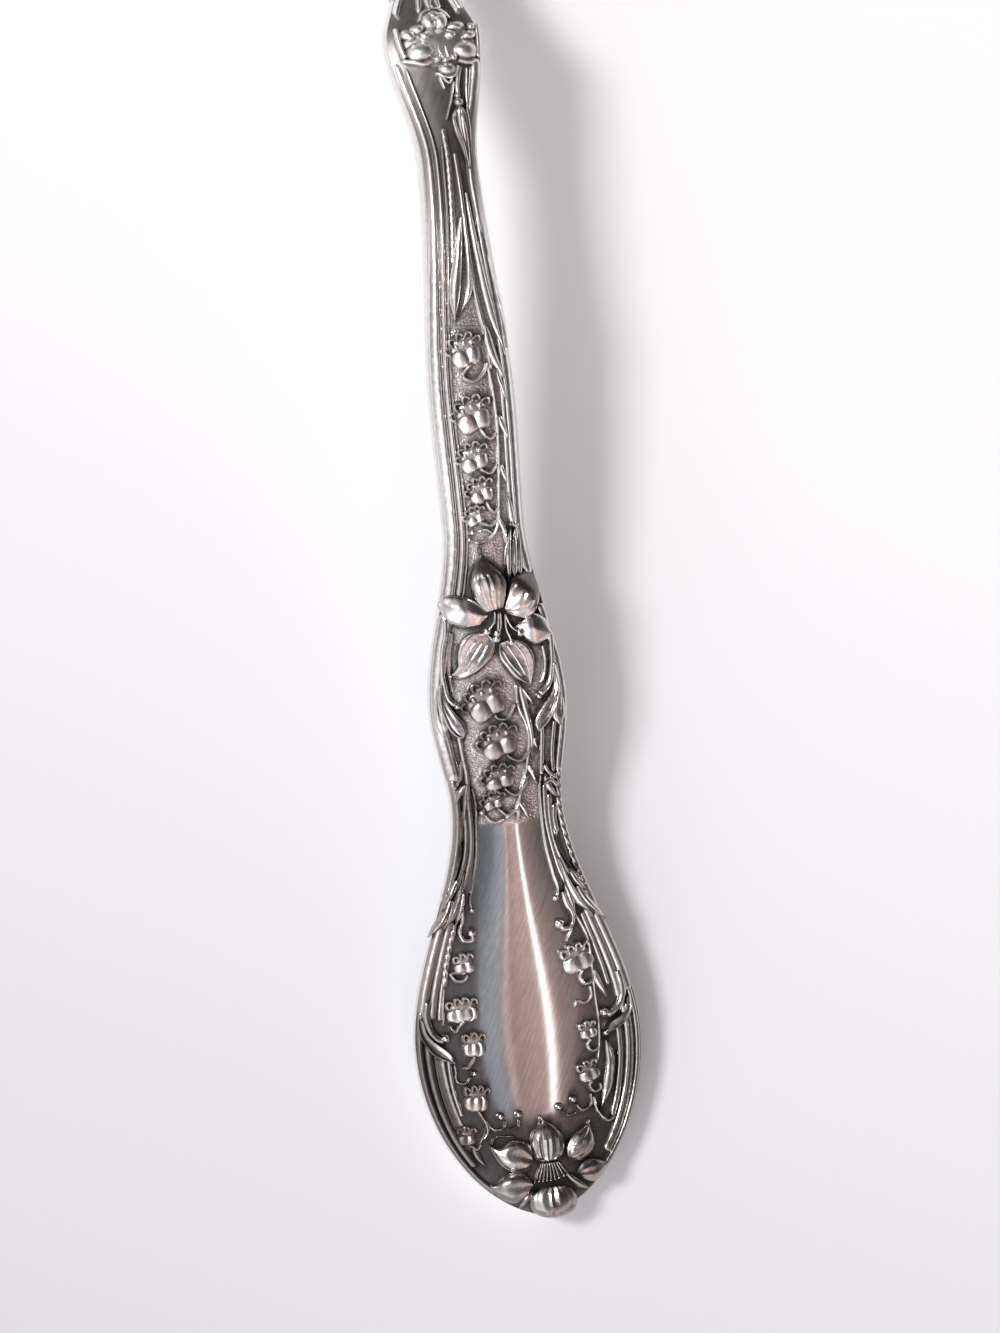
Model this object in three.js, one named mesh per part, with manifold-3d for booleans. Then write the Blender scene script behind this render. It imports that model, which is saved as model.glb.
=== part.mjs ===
// A silver serving fork with a relief handle, lying face up on a table, in millimetres.
// X runs across the fork, Y along it from the handle's tip to the tines, and Z up from the table.
// The origin is on the table, under the middle of the fork's length and width.
// A forged head is soldered by its tang into the struck handle, and cast flowers, bells, leaves and
// reeded borders are soldered to the handle's face.
// A place on the fork is a station, the distance from the handle's tip, and an offset across from the middle.
import * as THREE from "three";
import { mergeVertices } from "three/addons/utils/BufferGeometryUtils.js";
import Module from "manifold-3d";

const wasm = await Module();
wasm.setup();

// Lengths along the fork, each from one station to the next
const TIP_TO_BELLY = 21;
const BELLY_TO_WAIST = 28.5;
const WAIST_TO_SWELL = 12;
const SWELL_TO_GRIP = 21.5;
const GRIP_TO_STEM = 14;
const STEM_TO_THROAT = 29;
const THROAT_TO_KNUCKLE = 14.5;
const KNUCKLE_TO_JOINT = 5.5;
const JOINT_TO_NECK = 3;
const NECK_TO_PALM = 27;
const PALM_TO_HEEL = 8;
const HEEL_TO_SLOTS = 6;
const TINE_LENGTH = 42;

// Half widths at the stations, and how pointed the tip is: 0.5 gives an ellipse
const TIP_HALF = 1.5;
const TIP_POINT = 0.6;
const BELLY_HALF = 13.9;
const WAIST_HALF = 6.9;
const SWELL_HALF = 8.45;
const GRIP_HALF = 4.95;
const STEM_HALF = 5.2;
const THROAT_HALF = 3.65;
const KNUCKLE_HALF = 5.8;
const NECK_HALF = 3.2;
const PALM_HALF = 20.5;
const TINE_TIPS_HALF = 18.6;

// Thicknesses, and how far the fork stands off the table
const TERMINAL_THICK = 2.8;
const WAIST_THICK = 3.4;
const STEM_THICK = 4.2;
const KNUCKLE_THICK = 4.6;
const NECK_THICK = 3.8;
const PALM_THICK = 2.4;
const TINE_THICK = 2;
const ARCH_RISE = 14.5;
const TINE_RISE = 9;
const FACE_CROWN = 0.5;
const BACK_ROUND = 0.8;
const HEAD_CUP = 1.5;
const REST_FLAT = 0.3;

// Tines
const TINE_COUNT = 4;
const SLOT_WIDTH = 5.4;
const TINE_POINT_WIDTH = 2.2;
const TINE_POINT_LENGTH = 14;

// Soldered joint of the head and the handle
const TANG_WIDTH = 3.4;
const TANG_THICK = 1.8;
const TANG_LENGTH = 8;
const SOLDER_GAP = 0.3;

// Border reeds and leaves, along both edges of the handle's face
const SEAT_GAP = 0.3;
const EDGE_MARGIN = 0.3;
const TIP_REED_WIDTH = 1.2;
const TERMINAL_REED_WIDTH = 2.8;
const WAIST_REED_WIDTH = 1.6;
const STEM_REED_WIDTH = 1.4;
const REED_HEIGHT = 0.9;
const LEAF_HEIGHT = 1.3;
const LEAF_OVERHANG = 0.5;
const SIDE_LEAF_LENGTH = 8.4;
const SHOULDER_LEAF_LENGTH = 8.6;
const WAIST_LEAF_LENGTH = 3.2;
const SWELL_LEAF_LENGTH = 6.6;

// Places along the fork, each from the station it goes with
const TIP_LILY_FROM_TIP = 5.4;
const TIP_REEDS_FROM_LILY = 2.2;
const SIDE_LEAF_FROM_BELLY = 1.3;
const GARLAND_FROM_BELLY = 10;
const SHOULDER_BEAD_FROM_BELLY = 13.6;
const SHOULDER_LEAF_BEFORE_WAIST = 9.9;
const WAIST_LEAF_FROM_WAIST = 3.4;
const SWELL_LEAF_FROM_SWELL = 0.1;
const MIDDLE_LILY_FROM_SWELL = 9.1;
const UPPER_SPRAY_FROM_STEM = 8.4;
const LONG_LEAVES_FROM_SPRAY = 3.2;
const LOWER_BUD_FROM_SPRAY = 1.4;

// Lily of the valley bells, their stalks and the beads
const BELL_LENGTH = 4.2;
const BELL_WIDTH = 2.9;
const BELL_HEIGHT = 1.2;
const BELL_SHRINK = 0.87;
const UPPER_GAP = 3.3;
const UPPER_GAP_SHRINK = 0.55;
const LOWER_GAP = 1.1;
const GARLAND_GAP = 1.2;
const GARLAND_PITCH = 4.9;
const STALK_RADIUS = 0.3;
const BEAD_RADIUS = 0.75;

// Lilies: reach along and across from the middle of the flower, and the relief of the petals
const MIDDLE_LILY_REACH = [7, 5.3];
const TIP_LILY_REACH = [4.6, 5.1];
const KNUCKLE_LILY_REACH = [4.4, 4.3];
const PETAL_HALF = 1.9;
const PETAL_THICK = 0.7;
const PETAL_LIFT = 0.9;
const PETAL_COUNT = 6;

const at = {};
at.belly = TIP_TO_BELLY;
at.waist = at.belly + BELLY_TO_WAIST;
at.swell = at.waist + WAIST_TO_SWELL;
at.grip = at.swell + SWELL_TO_GRIP;
at.stem = at.grip + GRIP_TO_STEM;
at.throat = at.stem + STEM_TO_THROAT;
at.knuckle = at.throat + THROAT_TO_KNUCKLE;
at.joint = at.knuckle + KNUCKLE_TO_JOINT;
at.neck = at.joint + JOINT_TO_NECK;
at.palm = at.neck + NECK_TO_PALM;
at.heel = at.palm + PALM_TO_HEEL;
at.slots = at.heel + HEEL_TO_SLOTS;
at.tips = at.slots + TINE_LENGTH;

const smooth = (t) => t * t * (3 - 2 * t);

// A size that eases from each station's value to the next one's.
function eased(stations) {
  return (s) => {
    const next = stations.findIndex(([station]) => s < station);
    if (next === 0) return stations[0][1];
    if (next < 0) return stations.at(-1)[1];
    const [from, low] = stations[next - 1];
    const [to, high] = stations[next];
    return low + (high - low) * smooth((s - from) / (to - from));
  };
}

const bodyHalf = eased([
  [at.belly, BELLY_HALF],
  [at.waist, WAIST_HALF],
  [at.swell, SWELL_HALF],
  [at.grip, GRIP_HALF],
  [at.stem, STEM_HALF],
  [at.throat, THROAT_HALF],
  [at.knuckle, KNUCKLE_HALF],
  [at.neck, NECK_HALF],
  [at.palm, PALM_HALF],
  [at.slots, PALM_HALF],
  [at.tips, TINE_TIPS_HALF],
]);

// The tip's outline is an oval as wide as the belly, more pointed than an ellipse,
// cut off square where it is as wide as the tip.
function halfWidth(s) {
  if (s >= at.belly) return bodyHalf(s);
  const cut = Math.sqrt(1 - (TIP_HALF / BELLY_HALF) ** (1 / TIP_POINT));
  return BELLY_HALF * (1 - (cut * (1 - s / at.belly)) ** 2) ** TIP_POINT;
}

const thickness = eased([
  [at.belly, TERMINAL_THICK],
  [at.waist, WAIST_THICK],
  [at.stem, STEM_THICK],
  [at.knuckle, KNUCKLE_THICK],
  [at.neck, NECK_THICK],
  [at.palm, PALM_THICK],
  [at.tips, TINE_THICK],
]);

const archRise = eased([
  [0, 0],
  [at.throat, ARCH_RISE],
  [at.heel, 0],
]);

const headCup = eased([
  [at.neck, BACK_ROUND],
  [at.palm, HEAD_CUP],
]);

// Height of the back over the table, flat where the fork rests.
function backHeight(s, share) {
  const past = Math.max(0, s - at.heel) / (at.tips - at.heel);
  const rise = archRise(s) + TINE_RISE * past ** 2;
  return Math.max(0, rise + headCup(s) * share ** 2 - REST_FLAT);
}

// Height of the face over the table: the handle is crowned, and the head follows its cupped back.
function faceHeight(s, share) {
  if (s > at.neck) return backHeight(s, share) + thickness(s);
  return Math.max(0, archRise(s) - REST_FLAT) + thickness(s) + FACE_CROWN * (1 - share ** 2);
}

const along = (s) => s - at.tips / 2;

// A point at a height over the handle's face.
function onFace(s, offset, height) {
  return new THREE.Vector3(offset, along(s), faceHeight(s, offset / halfWidth(s)) + height);
}

// Moves every vertex of a geometry and welds it into a closed surface.
function warped(geometry, move) {
  const points = geometry.getAttribute("position");
  const point = new THREE.Vector3();
  for (let i = 0; i < points.count; i++) {
    point.copy(move(point.fromBufferAttribute(points, i)));
    points.setXYZ(i, point.x, point.y, point.z);
  }
  geometry.deleteAttribute("normal");
  geometry.deleteAttribute("uv");
  const welded = mergeVertices(geometry, 1e-4);
  welded.computeVertexNormals();
  return welded;
}

function solidOf(geometry) {
  const bare = geometry.clone();
  bare.deleteAttribute("normal");
  bare.deleteAttribute("uv");
  const welded = mergeVertices(bare, 1e-4);
  return new wasm.Manifold(
    new wasm.Mesh({
      numProp: 3,
      vertProperties: new Float32Array(welded.getAttribute("position").array),
      triVerts: new Uint32Array(welded.index.array),
    }),
  );
}

function geometryOf(solid) {
  const mesh = solid.getMesh();
  const geometry = new THREE.BufferGeometry();
  geometry.setAttribute("position", new THREE.BufferAttribute(mesh.vertProperties, 3));
  geometry.setIndex(new THREE.BufferAttribute(mesh.triVerts, 1));
  geometry.computeVertexNormals();
  return geometry;
}

const POLISHED = { color: 0xd9d6d2, roughness: 0.18, metalness: 1 };
const CAST = { color: 0xb9b4b0, roughness: 0.28, metalness: 1 };

const fork = new THREE.Group();

function add(name, geometry, finish) {
  const mesh = new THREE.Mesh(geometry, new THREE.MeshStandardMaterial(finish));
  mesh.name = name;
  fork.add(mesh);
  return mesh;
}

// A slab of the fork between the stations in a list, lofted through its outline and thickness.
function slab(stations, across) {
  const rows = stations.length - 1;
  const box = new THREE.BoxGeometry(2, rows, 1, across, rows, 1);
  return warped(box, (p) => {
    const s = stations[Math.round(p.y + rows / 2)];
    const height = p.z > 0 ? faceHeight(s, p.x) : backHeight(s, p.x);
    return new THREE.Vector3(p.x * halfWidth(s), along(s), height);
  });
}

function steps(from, to, count) {
  return Array.from({ length: count + 1 }, (_, i) => from + ((to - from) * i) / count);
}

// Struck handle, with the socket for the tang in its end
const TIP_ROWS = 9;
const HANDLE_ROW_PITCH = 3;
const SLAB_ACROSS = 8;

// The tang, or with a clearance the socket round it, running a little past the end of the handle.
// It slopes with the handle, halfway between the face and the back.
function tangBox(clearance) {
  const root = at.joint + 2 * SOLDER_GAP;
  const end = at.joint - TANG_LENGTH - clearance;
  const box = new THREE.BoxGeometry(TANG_WIDTH + 2 * clearance, 1, TANG_THICK + 2 * clearance);
  return warped(box, (p) => {
    const s = p.y > 0 ? root : end;
    const middle = (faceHeight(s, 0) + backHeight(s, 0)) / 2;
    return new THREE.Vector3(p.x, along(s), middle + p.z);
  });
}

function handleBody() {
  const tip = steps(0, Math.PI / 2, TIP_ROWS);
  const rows = Math.ceil((at.joint - at.belly) / HANDLE_ROW_PITCH);
  const stations = [
    ...tip.map((angle) => at.belly * (1 - Math.cos(angle))),
    ...steps(at.belly, at.joint, rows).slice(1),
  ];
  const socket = tangBox(SOLDER_GAP);
  return geometryOf(solidOf(slab(stations, SLAB_ACROSS)).subtract(solidOf(socket)));
}

add("handle_body", handleBody(), POLISHED);

// Forged head: neck, palm and tines, with the tang that enters the handle
const HEAD_ROW_PITCH = 3.5;
const HEAD_ACROSS = 12;
const CUTTER_HEIGHT = 80;

// The outline between two tines: a round root, straight sides, and a flare that points the tines.
function slotCutter(middle) {
  const half = SLOT_WIDTH / 2;
  const pitch = (2 * PALM_HALF + SLOT_WIDTH) / TINE_COUNT;
  const mouth = (pitch - TINE_POINT_WIDTH) / 2;
  const root = along(at.slots) + half;
  const flare = along(at.tips) - TINE_POINT_LENGTH;
  const end = along(at.tips);
  const bend = end - TINE_POINT_WIDTH / 2;
  const past = end + half;
  const shape = new THREE.Shape();
  shape.moveTo(half, root);
  shape.lineTo(half, flare);
  shape.quadraticCurveTo(half, bend, mouth, end);
  shape.lineTo(mouth, past);
  shape.lineTo(-mouth, past);
  shape.lineTo(-mouth, end);
  shape.quadraticCurveTo(-half, bend, -half, flare);
  shape.lineTo(-half, root);
  shape.absarc(0, root, half, Math.PI, 2 * Math.PI, false);
  const cutter = new THREE.ExtrudeGeometry(shape, {
    depth: CUTTER_HEIGHT,
    bevelEnabled: false,
    curveSegments: 8,
  });
  return cutter.translate(middle, 0, -CUTTER_HEIGHT / 2);
}

function forkHead() {
  const from = at.joint + SOLDER_GAP;
  const rows = Math.ceil((at.tips - from) / HEAD_ROW_PITCH);
  const pitch = (2 * PALM_HALF + SLOT_WIDTH) / TINE_COUNT;
  let head = solidOf(slab(steps(from, at.tips, rows), HEAD_ACROSS));
  for (let i = 1; i < TINE_COUNT; i++) {
    head = head.subtract(solidOf(slotCutter((i - TINE_COUNT / 2) * pitch)));
  }
  return geometryOf(head.add(solidOf(tangBox(0))));
}

add("fork_head", forkHead(), POLISHED);

// Borders: reeded strips and leaves that follow one another along each edge of the face
const reedWidth = eased([
  [TIP_LILY_REACH[0], TIP_REED_WIDTH],
  [at.belly, TERMINAL_REED_WIDTH],
  [at.waist, WAIST_REED_WIDTH],
  [at.stem, STEM_REED_WIDTH],
]);

// A piece along one edge from one station to another; width and height follow the share of its length.
function edgePiece(side, from, to, rows, overhang, height) {
  const box = new THREE.BoxGeometry(1, rows, 1, 2, rows, 1);
  return warped(box, (p) => {
    const share = p.y / rows + 0.5;
    const s = from + (to - from) * share;
    const width = reedWidth(s) + overhang * Math.sin(Math.PI * share);
    const inward = EDGE_MARGIN + width * (0.5 - side * p.x);
    const ridge = 1 - 0.5 * Math.abs(2 * p.x) ** 2;
    const lift = p.z > 0 ? height * ridge : 0;
    return onFace(s, side * (halfWidth(s) - inward), SEAT_GAP + lift);
  });
}

const lily = {
  tip: { s: TIP_LILY_FROM_TIP, offset: 0.6, reach: TIP_LILY_REACH, turn: 0 },
  middle: { s: at.swell + MIDDLE_LILY_FROM_SWELL, offset: 0.2, reach: MIDDLE_LILY_REACH, turn: -5 },
  knuckle: { s: at.knuckle, offset: 0, reach: KNUCKLE_LILY_REACH, turn: 0 },
};
const lilyTop = (flower) => flower.s + flower.reach[0] + SEAT_GAP;
const lilyFoot = (flower) => flower.s - flower.reach[0] - SEAT_GAP;

const LEAVES = [
  { name: "side_leaf", middle: at.belly + SIDE_LEAF_FROM_BELLY, length: SIDE_LEAF_LENGTH },
  { name: "shoulder_leaf", middle: at.waist - SHOULDER_LEAF_BEFORE_WAIST, length: SHOULDER_LEAF_LENGTH },
  { name: "waist_leaf", middle: at.waist + WAIST_LEAF_FROM_WAIST, length: WAIST_LEAF_LENGTH },
  { name: "swell_leaf", middle: at.swell + SWELL_LEAF_FROM_SWELL, length: SWELL_LEAF_LENGTH },
];
const REED_NAMES = ["tip_reeds", "belly_reeds", "waist_reeds", "swell_reeds"];
const ROW_LENGTH = 2;
const LEAF_ROWS = 6;

function border(sideName, side) {
  const strip = (name, from, to) => {
    const rows = Math.ceil((to - from) / ROW_LENGTH);
    add(`${sideName}_${name}`, edgePiece(side, from, to, rows, 0, REED_HEIGHT), CAST);
  };
  let from = lily.tip.s + TIP_REEDS_FROM_LILY;
  LEAVES.forEach((leaf, i) => {
    const foot = leaf.middle - leaf.length / 2;
    const end = leaf.middle + leaf.length / 2;
    strip(REED_NAMES[i], from, foot - SEAT_GAP);
    add(`${sideName}_${leaf.name}`, edgePiece(side, foot, end, LEAF_ROWS, LEAF_OVERHANG, LEAF_HEIGHT), CAST);
    from = end + SEAT_GAP;
  });
  strip("stem_reeds", lilyTop(lily.middle), lilyFoot(lily.knuckle));
}

border("left", -1);
border("right", 1);

// Lilies: six cupped petals joined by a round heart
const PETAL_ROWS = 5;
const PETAL_ACROSS = 2;
const HEART_SHARE = 0.28;

function petal(flower, angle) {
  const box = new THREE.BoxGeometry(2, 1, 1, PETAL_ACROSS, PETAL_ROWS, 1);
  const [reachAlong, reachAcross] = flower.reach;
  const reach = Math.hypot(reachAlong * Math.cos(angle), reachAcross * Math.sin(angle));
  return warped(box, (p) => {
    const share = p.y + 0.5;
    const out = share * reach;
    const half = 0.25 + PETAL_HALF * Math.sin(Math.PI * Math.min(0.96, 0.12 + 0.88 * share));
    const lift = PETAL_LIFT * Math.sin(Math.PI * share) * (1 - 0.5 * p.x ** 2);
    const height = SEAT_GAP + (p.z > 0 ? lift + PETAL_THICK : 0);
    const s = flower.s + out * Math.cos(angle) - p.x * half * Math.sin(angle);
    const offset = flower.offset + out * Math.sin(angle) + p.x * half * Math.cos(angle);
    return onFace(s, offset, height);
  });
}

function heart(flower) {
  const radius = HEART_SHARE * flower.reach[1];
  const ball = new THREE.SphereGeometry(radius, 12, 6, 0, 2 * Math.PI, 0, Math.PI / 2);
  const rim = new THREE.CircleGeometry(radius, 12).rotateX(Math.PI / 2);
  const dome = solidOf(closedDome(ball, rim).rotateX(Math.PI / 2));
  const place = onFace(flower.s, flower.offset, SEAT_GAP + FACE_CROWN / 2);
  return dome.translate([place.x, place.y, place.z]);
}

// Joins a half ball and the disc that closes it into one surface.
function closedDome(ball, disc) {
  const triangles = [];
  for (const piece of [ball.toNonIndexed(), disc.toNonIndexed()]) {
    triangles.push(...piece.getAttribute("position").array);
  }
  const joined = new THREE.BufferGeometry();
  joined.setAttribute("position", new THREE.Float32BufferAttribute(triangles, 3));
  return joined;
}

function lilyCasting(flower) {
  let casting = heart(flower);
  for (let i = 0; i < PETAL_COUNT; i++) {
    const angle = THREE.MathUtils.degToRad(flower.turn + (360 / PETAL_COUNT) * i);
    casting = casting.add(solidOf(petal(flower, angle)));
  }
  return geometryOf(casting);
}

for (const [name, flower] of Object.entries(lily)) {
  add(`${name}_lily`, lilyCasting(flower), CAST);
}

// Bells: a flattened bell lies on the face with its mouth turned towards the head of the fork
const BELL_SIDES = 10;
const BELL_PROFILE = [
  [0, 0],
  [0.6, 0.08],
  [0.95, 0.32],
  [0.9, 0.6],
  [0.72, 0.8],
  [1, 1],
  [0.6, 0.94],
  [0, 0.72],
];

// Sits a mesh on the face, its own Z along the face's normal and its own Y turned from the fork's length.
function seat(mesh, s, offset, turn) {
  const step = 0.5;
  const middle = onFace(s, offset, 0);
  const ahead = onFace(s + step, offset, 0).sub(middle);
  const beside = onFace(s, offset + step, 0).sub(middle);
  const normal = beside.clone().cross(ahead).normalize();
  const length = ahead.normalize();
  const width = length.clone().cross(normal);
  mesh.quaternion.setFromRotationMatrix(new THREE.Matrix4().makeBasis(width, length, normal));
  mesh.rotateZ(turn);
  mesh.position.copy(middle.addScaledVector(normal, SEAT_GAP));
}

function bell(name, s, offset, scale, turn) {
  const half = BELL_WIDTH / 2;
  const profile = BELL_PROFILE.map(([r, l]) => new THREE.Vector2(r * half, (l - 0.5) * BELL_LENGTH));
  const geometry = new THREE.LatheGeometry(profile, BELL_SIDES);
  const relief = BELL_HEIGHT / BELL_WIDTH;
  geometry.scale(scale, scale, scale * relief);
  geometry.translate(0, 0, (scale * BELL_HEIGHT) / 2);
  seat(add(name, solidGeometry(geometry), CAST), s, offset, turn);
}

// The same surface with its shared vertices welded.
function solidGeometry(geometry) {
  return geometryOf(solidOf(geometry));
}

const UPPER_BELLS = 5;
const UPPER_TOP = at.stem + UPPER_SPRAY_FROM_STEM;
const UPPER_TURN = 0.15;
const LOWER_BELLS = 4;
const LOWER_OFFSET = -0.9;
const LOWER_TURN = 0.15;

// The ground between the borders is this wide to each side, and the upper stalk runs along its right edge.
const groundHalf = (s) => halfWidth(s) - EDGE_MARGIN - reedWidth(s);
const stalkOffset = (s) => groundHalf(s) - SEAT_GAP - STALK_RADIUS;

// Each bell stands halfway between the stalk and the left border.
function upperSpray() {
  let end = UPPER_TOP;
  let gap = UPPER_GAP;
  let scale = 1;
  for (let i = 1; i <= UPPER_BELLS; i++) {
    const s = end - (scale * BELL_LENGTH) / 2;
    const middle = (stalkOffset(s) - STALK_RADIUS - groundHalf(s)) / 2;
    bell(`upper_bell_${i}`, s, middle, scale, UPPER_TURN);
    end -= scale * BELL_LENGTH + gap;
    gap *= UPPER_GAP_SHRINK;
    scale *= BELL_SHRINK;
  }
  return end;
}

function lowerSpray() {
  let end = lilyFoot(lily.middle) - SEAT_GAP;
  let scale = BELL_SHRINK;
  for (let i = 1; i <= LOWER_BELLS; i++) {
    bell(`lower_bell_${i}`, end - (scale * BELL_LENGTH) / 2, LOWER_OFFSET, scale, LOWER_TURN);
    end -= scale * BELL_LENGTH + LOWER_GAP;
    scale *= BELL_SHRINK;
  }
  return end;
}

const upperFoot = upperSpray();
const lowerFoot = lowerSpray();

// Garlands of bells beside the plain shield, one bell left out on the right where a leaf turns in
const GARLAND_TOP = at.belly + GARLAND_FROM_BELLY;
const GARLAND_SCALE = 0.85;
const GARLAND_TURN = 0.1;
const GARLANDS = { left: [0, 1, 2, 3, 4], right: [0, 2, 3] };

function garland(sideName, side) {
  GARLANDS[sideName].forEach((pitches, i) => {
    const s = GARLAND_TOP - pitches * GARLAND_PITCH;
    const inward = EDGE_MARGIN + reedWidth(s) + GARLAND_GAP + (GARLAND_SCALE * BELL_WIDTH) / 2;
    const offset = side * (halfWidth(s) - inward);
    bell(`${sideName}_bell_${i + 1}`, s, offset, GARLAND_SCALE, side * GARLAND_TURN);
  });
}

garland("left", -1);
garland("right", 1);

// Beads: two each side over the tip lily, one each side at the shoulder, and one under the lower spray
const BEAD_RELIEF = 0.7;
const BEAD_SIDES = 10;

function bead(name, s, offset) {
  const ball = new THREE.SphereGeometry(BEAD_RADIUS, BEAD_SIDES, BEAD_SIDES / 2 + 1);
  ball.scale(1, 1, BEAD_RELIEF).translate(0, 0, BEAD_RADIUS * BEAD_RELIEF);
  seat(add(name, solidGeometry(ball), CAST), s, offset, 0);
}

const TIP_BEAD_OFFSETS = [2.5, 4.5];
const TIP_BEAD_AT = lilyTop(lily.tip) + BEAD_RADIUS + 1.1;
const SHOULDER_BEAD_AT = at.belly + SHOULDER_BEAD_FROM_BELLY;
const SHOULDER_BEAD_INSET = 1.4;
const LOWER_BUD_OFFSET = -3.2;

for (const [sideName, side] of [["left", -1], ["right", 1]]) {
  TIP_BEAD_OFFSETS.forEach((offset, i) => bead(`${sideName}_tip_bead_${i + 1}`, TIP_BEAD_AT, side * offset));
  const inward = EDGE_MARGIN + reedWidth(SHOULDER_BEAD_AT) + GARLAND_GAP + SHOULDER_BEAD_INSET;
  bead(`${sideName}_shoulder_bead`, SHOULDER_BEAD_AT, side * (halfWidth(SHOULDER_BEAD_AT) - inward));
}
bead("lower_bud", lowerFoot + LOWER_BUD_FROM_SPRAY, LOWER_BUD_OFFSET);

// Stalks: wires on the face beside the two sprays
const STALK_SIDES = 6;
const STALK_STEPS = 12;

function stalk(name, places) {
  const lift = SEAT_GAP + STALK_RADIUS;
  const path = new THREE.CatmullRomCurve3(places.map(([s, offset]) => onFace(s, offset, lift)));
  const section = new THREE.Shape();
  for (let i = 0; i < STALK_SIDES; i++) {
    const angle = (2 * Math.PI * i) / STALK_SIDES;
    const corner = [STALK_RADIUS * Math.cos(angle), STALK_RADIUS * Math.sin(angle)];
    if (i === 0) section.moveTo(...corner);
    else section.lineTo(...corner);
  }
  const tube = new THREE.ExtrudeGeometry(section, { steps: STALK_STEPS, extrudePath: path });
  add(name, solidGeometry(tube), CAST);
}

const upperMiddle = (UPPER_TOP + upperFoot) / 2;
stalk("upper_stalk", [
  [UPPER_TOP + 2.5, stalkOffset(UPPER_TOP + 2.5) - 0.4],
  [UPPER_TOP - 2, stalkOffset(UPPER_TOP - 2)],
  [upperMiddle, stalkOffset(upperMiddle)],
  [upperFoot, stalkOffset(upperFoot)],
]);

const lowerMiddle = (lilyFoot(lily.middle) + lowerFoot) / 2;
stalk("lower_stalk", [
  [lilyFoot(lily.middle), 2.2],
  [lowerMiddle, 3],
  [lowerFoot, 1.6],
]);

// Long leaves side by side over the slim end of the handle, filling the ground between the borders
const LONG_LEAF_POINT = 0.12;
const LONG_LEAF_HEIGHT = 0.9;
const LONG_LEAF_ROWS = 9;

function longLeaf(name, side, from, to) {
  const box = new THREE.BoxGeometry(2, 1, 1, 2, LONG_LEAF_ROWS, 1);
  const leaf = warped(box, (p) => {
    const share = p.y + 0.5;
    const s = from + (to - from) * share;
    const widest = groundHalf(s) / 2 - SEAT_GAP;
    const half = LONG_LEAF_POINT + (widest - LONG_LEAF_POINT) * Math.sin(Math.PI * share);
    const height = p.z > 0 ? LONG_LEAF_HEIGHT * (1 - 0.5 * p.x ** 2) : 0;
    return onFace(s, (side * groundHalf(s)) / 2 + p.x * half, SEAT_GAP + height);
  });
  add(name, leaf, CAST);
}

const leafFoot = UPPER_TOP + LONG_LEAVES_FROM_SPRAY;
longLeaf("left_long_leaf", -1, leafFoot, at.throat + 1);
longLeaf("right_long_leaf", 1, leafFoot + 1, at.throat + 3);

export default fork;
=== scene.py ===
"""A silver serving fork on a white table, dressed over its CAD frame.

A place on the fork is a station, s, the distance in millimetres from the handle's tip, and an offset, u,
across from the middle of the handle. The relief on the handle's face is made of straps: tapering raised bands
that follow a smooth line over the face. Reeds, stalks, petals, leaves, bells and beads are all straps. On a
strap, l is the share of its length from 0 to 1, and t is the share of its half width from -1 to 1.
"""

import logging
import math
from dataclasses import dataclass, replace
from enum import Enum
from typing import Any, Callable, Iterable, Sequence

import bpy
import numpy as np
from mathutils import Matrix, Vector

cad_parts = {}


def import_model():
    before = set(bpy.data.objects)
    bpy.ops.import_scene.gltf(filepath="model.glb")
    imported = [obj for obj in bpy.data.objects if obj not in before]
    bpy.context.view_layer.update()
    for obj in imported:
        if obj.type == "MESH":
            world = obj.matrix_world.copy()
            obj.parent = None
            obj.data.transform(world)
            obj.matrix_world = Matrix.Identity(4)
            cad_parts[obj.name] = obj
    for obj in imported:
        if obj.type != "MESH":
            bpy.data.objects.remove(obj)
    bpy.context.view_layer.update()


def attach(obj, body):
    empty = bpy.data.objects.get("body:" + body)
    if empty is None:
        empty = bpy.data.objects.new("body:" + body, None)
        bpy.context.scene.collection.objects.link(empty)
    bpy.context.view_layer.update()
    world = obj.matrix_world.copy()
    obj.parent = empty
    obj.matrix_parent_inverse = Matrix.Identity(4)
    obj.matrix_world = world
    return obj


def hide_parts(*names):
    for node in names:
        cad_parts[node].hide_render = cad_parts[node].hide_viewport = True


LOG = logging.getLogger("serving_fork")
MM = 0.001
BODY = "root"
Place = tuple[float, float]
Path = Sequence[Place]
Stops = Sequence[tuple[float, str]]
Piece = bpy.types.Object
Tree = bpy.types.NodeTree
Socket = bpy.types.NodeSocket


class Section(Enum):
    """The shape of a strap straight across."""

    ROUND = "round"
    SOFT = "soft"
    CUP = "cup"
    LEAF = "leaf"
    RIBBED = "ribbed"
    LOBED = "lobed"
    ROPE = "rope"


class Outline(Enum):
    """The shape of a strap seen from above, from its start to its end."""

    BAND = "band"
    TAPER = "taper"
    BLADE = "blade"
    CUSHION = "cushion"
    DROP = "drop"


class Side(Enum):
    """A side of the handle, with the sign of its offsets."""

    LEFT = -1
    RIGHT = 1


class Slot(Enum):
    """The record's material slots."""

    POLISHED = "polished_silver"
    CAST = "cast_silver"


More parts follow.
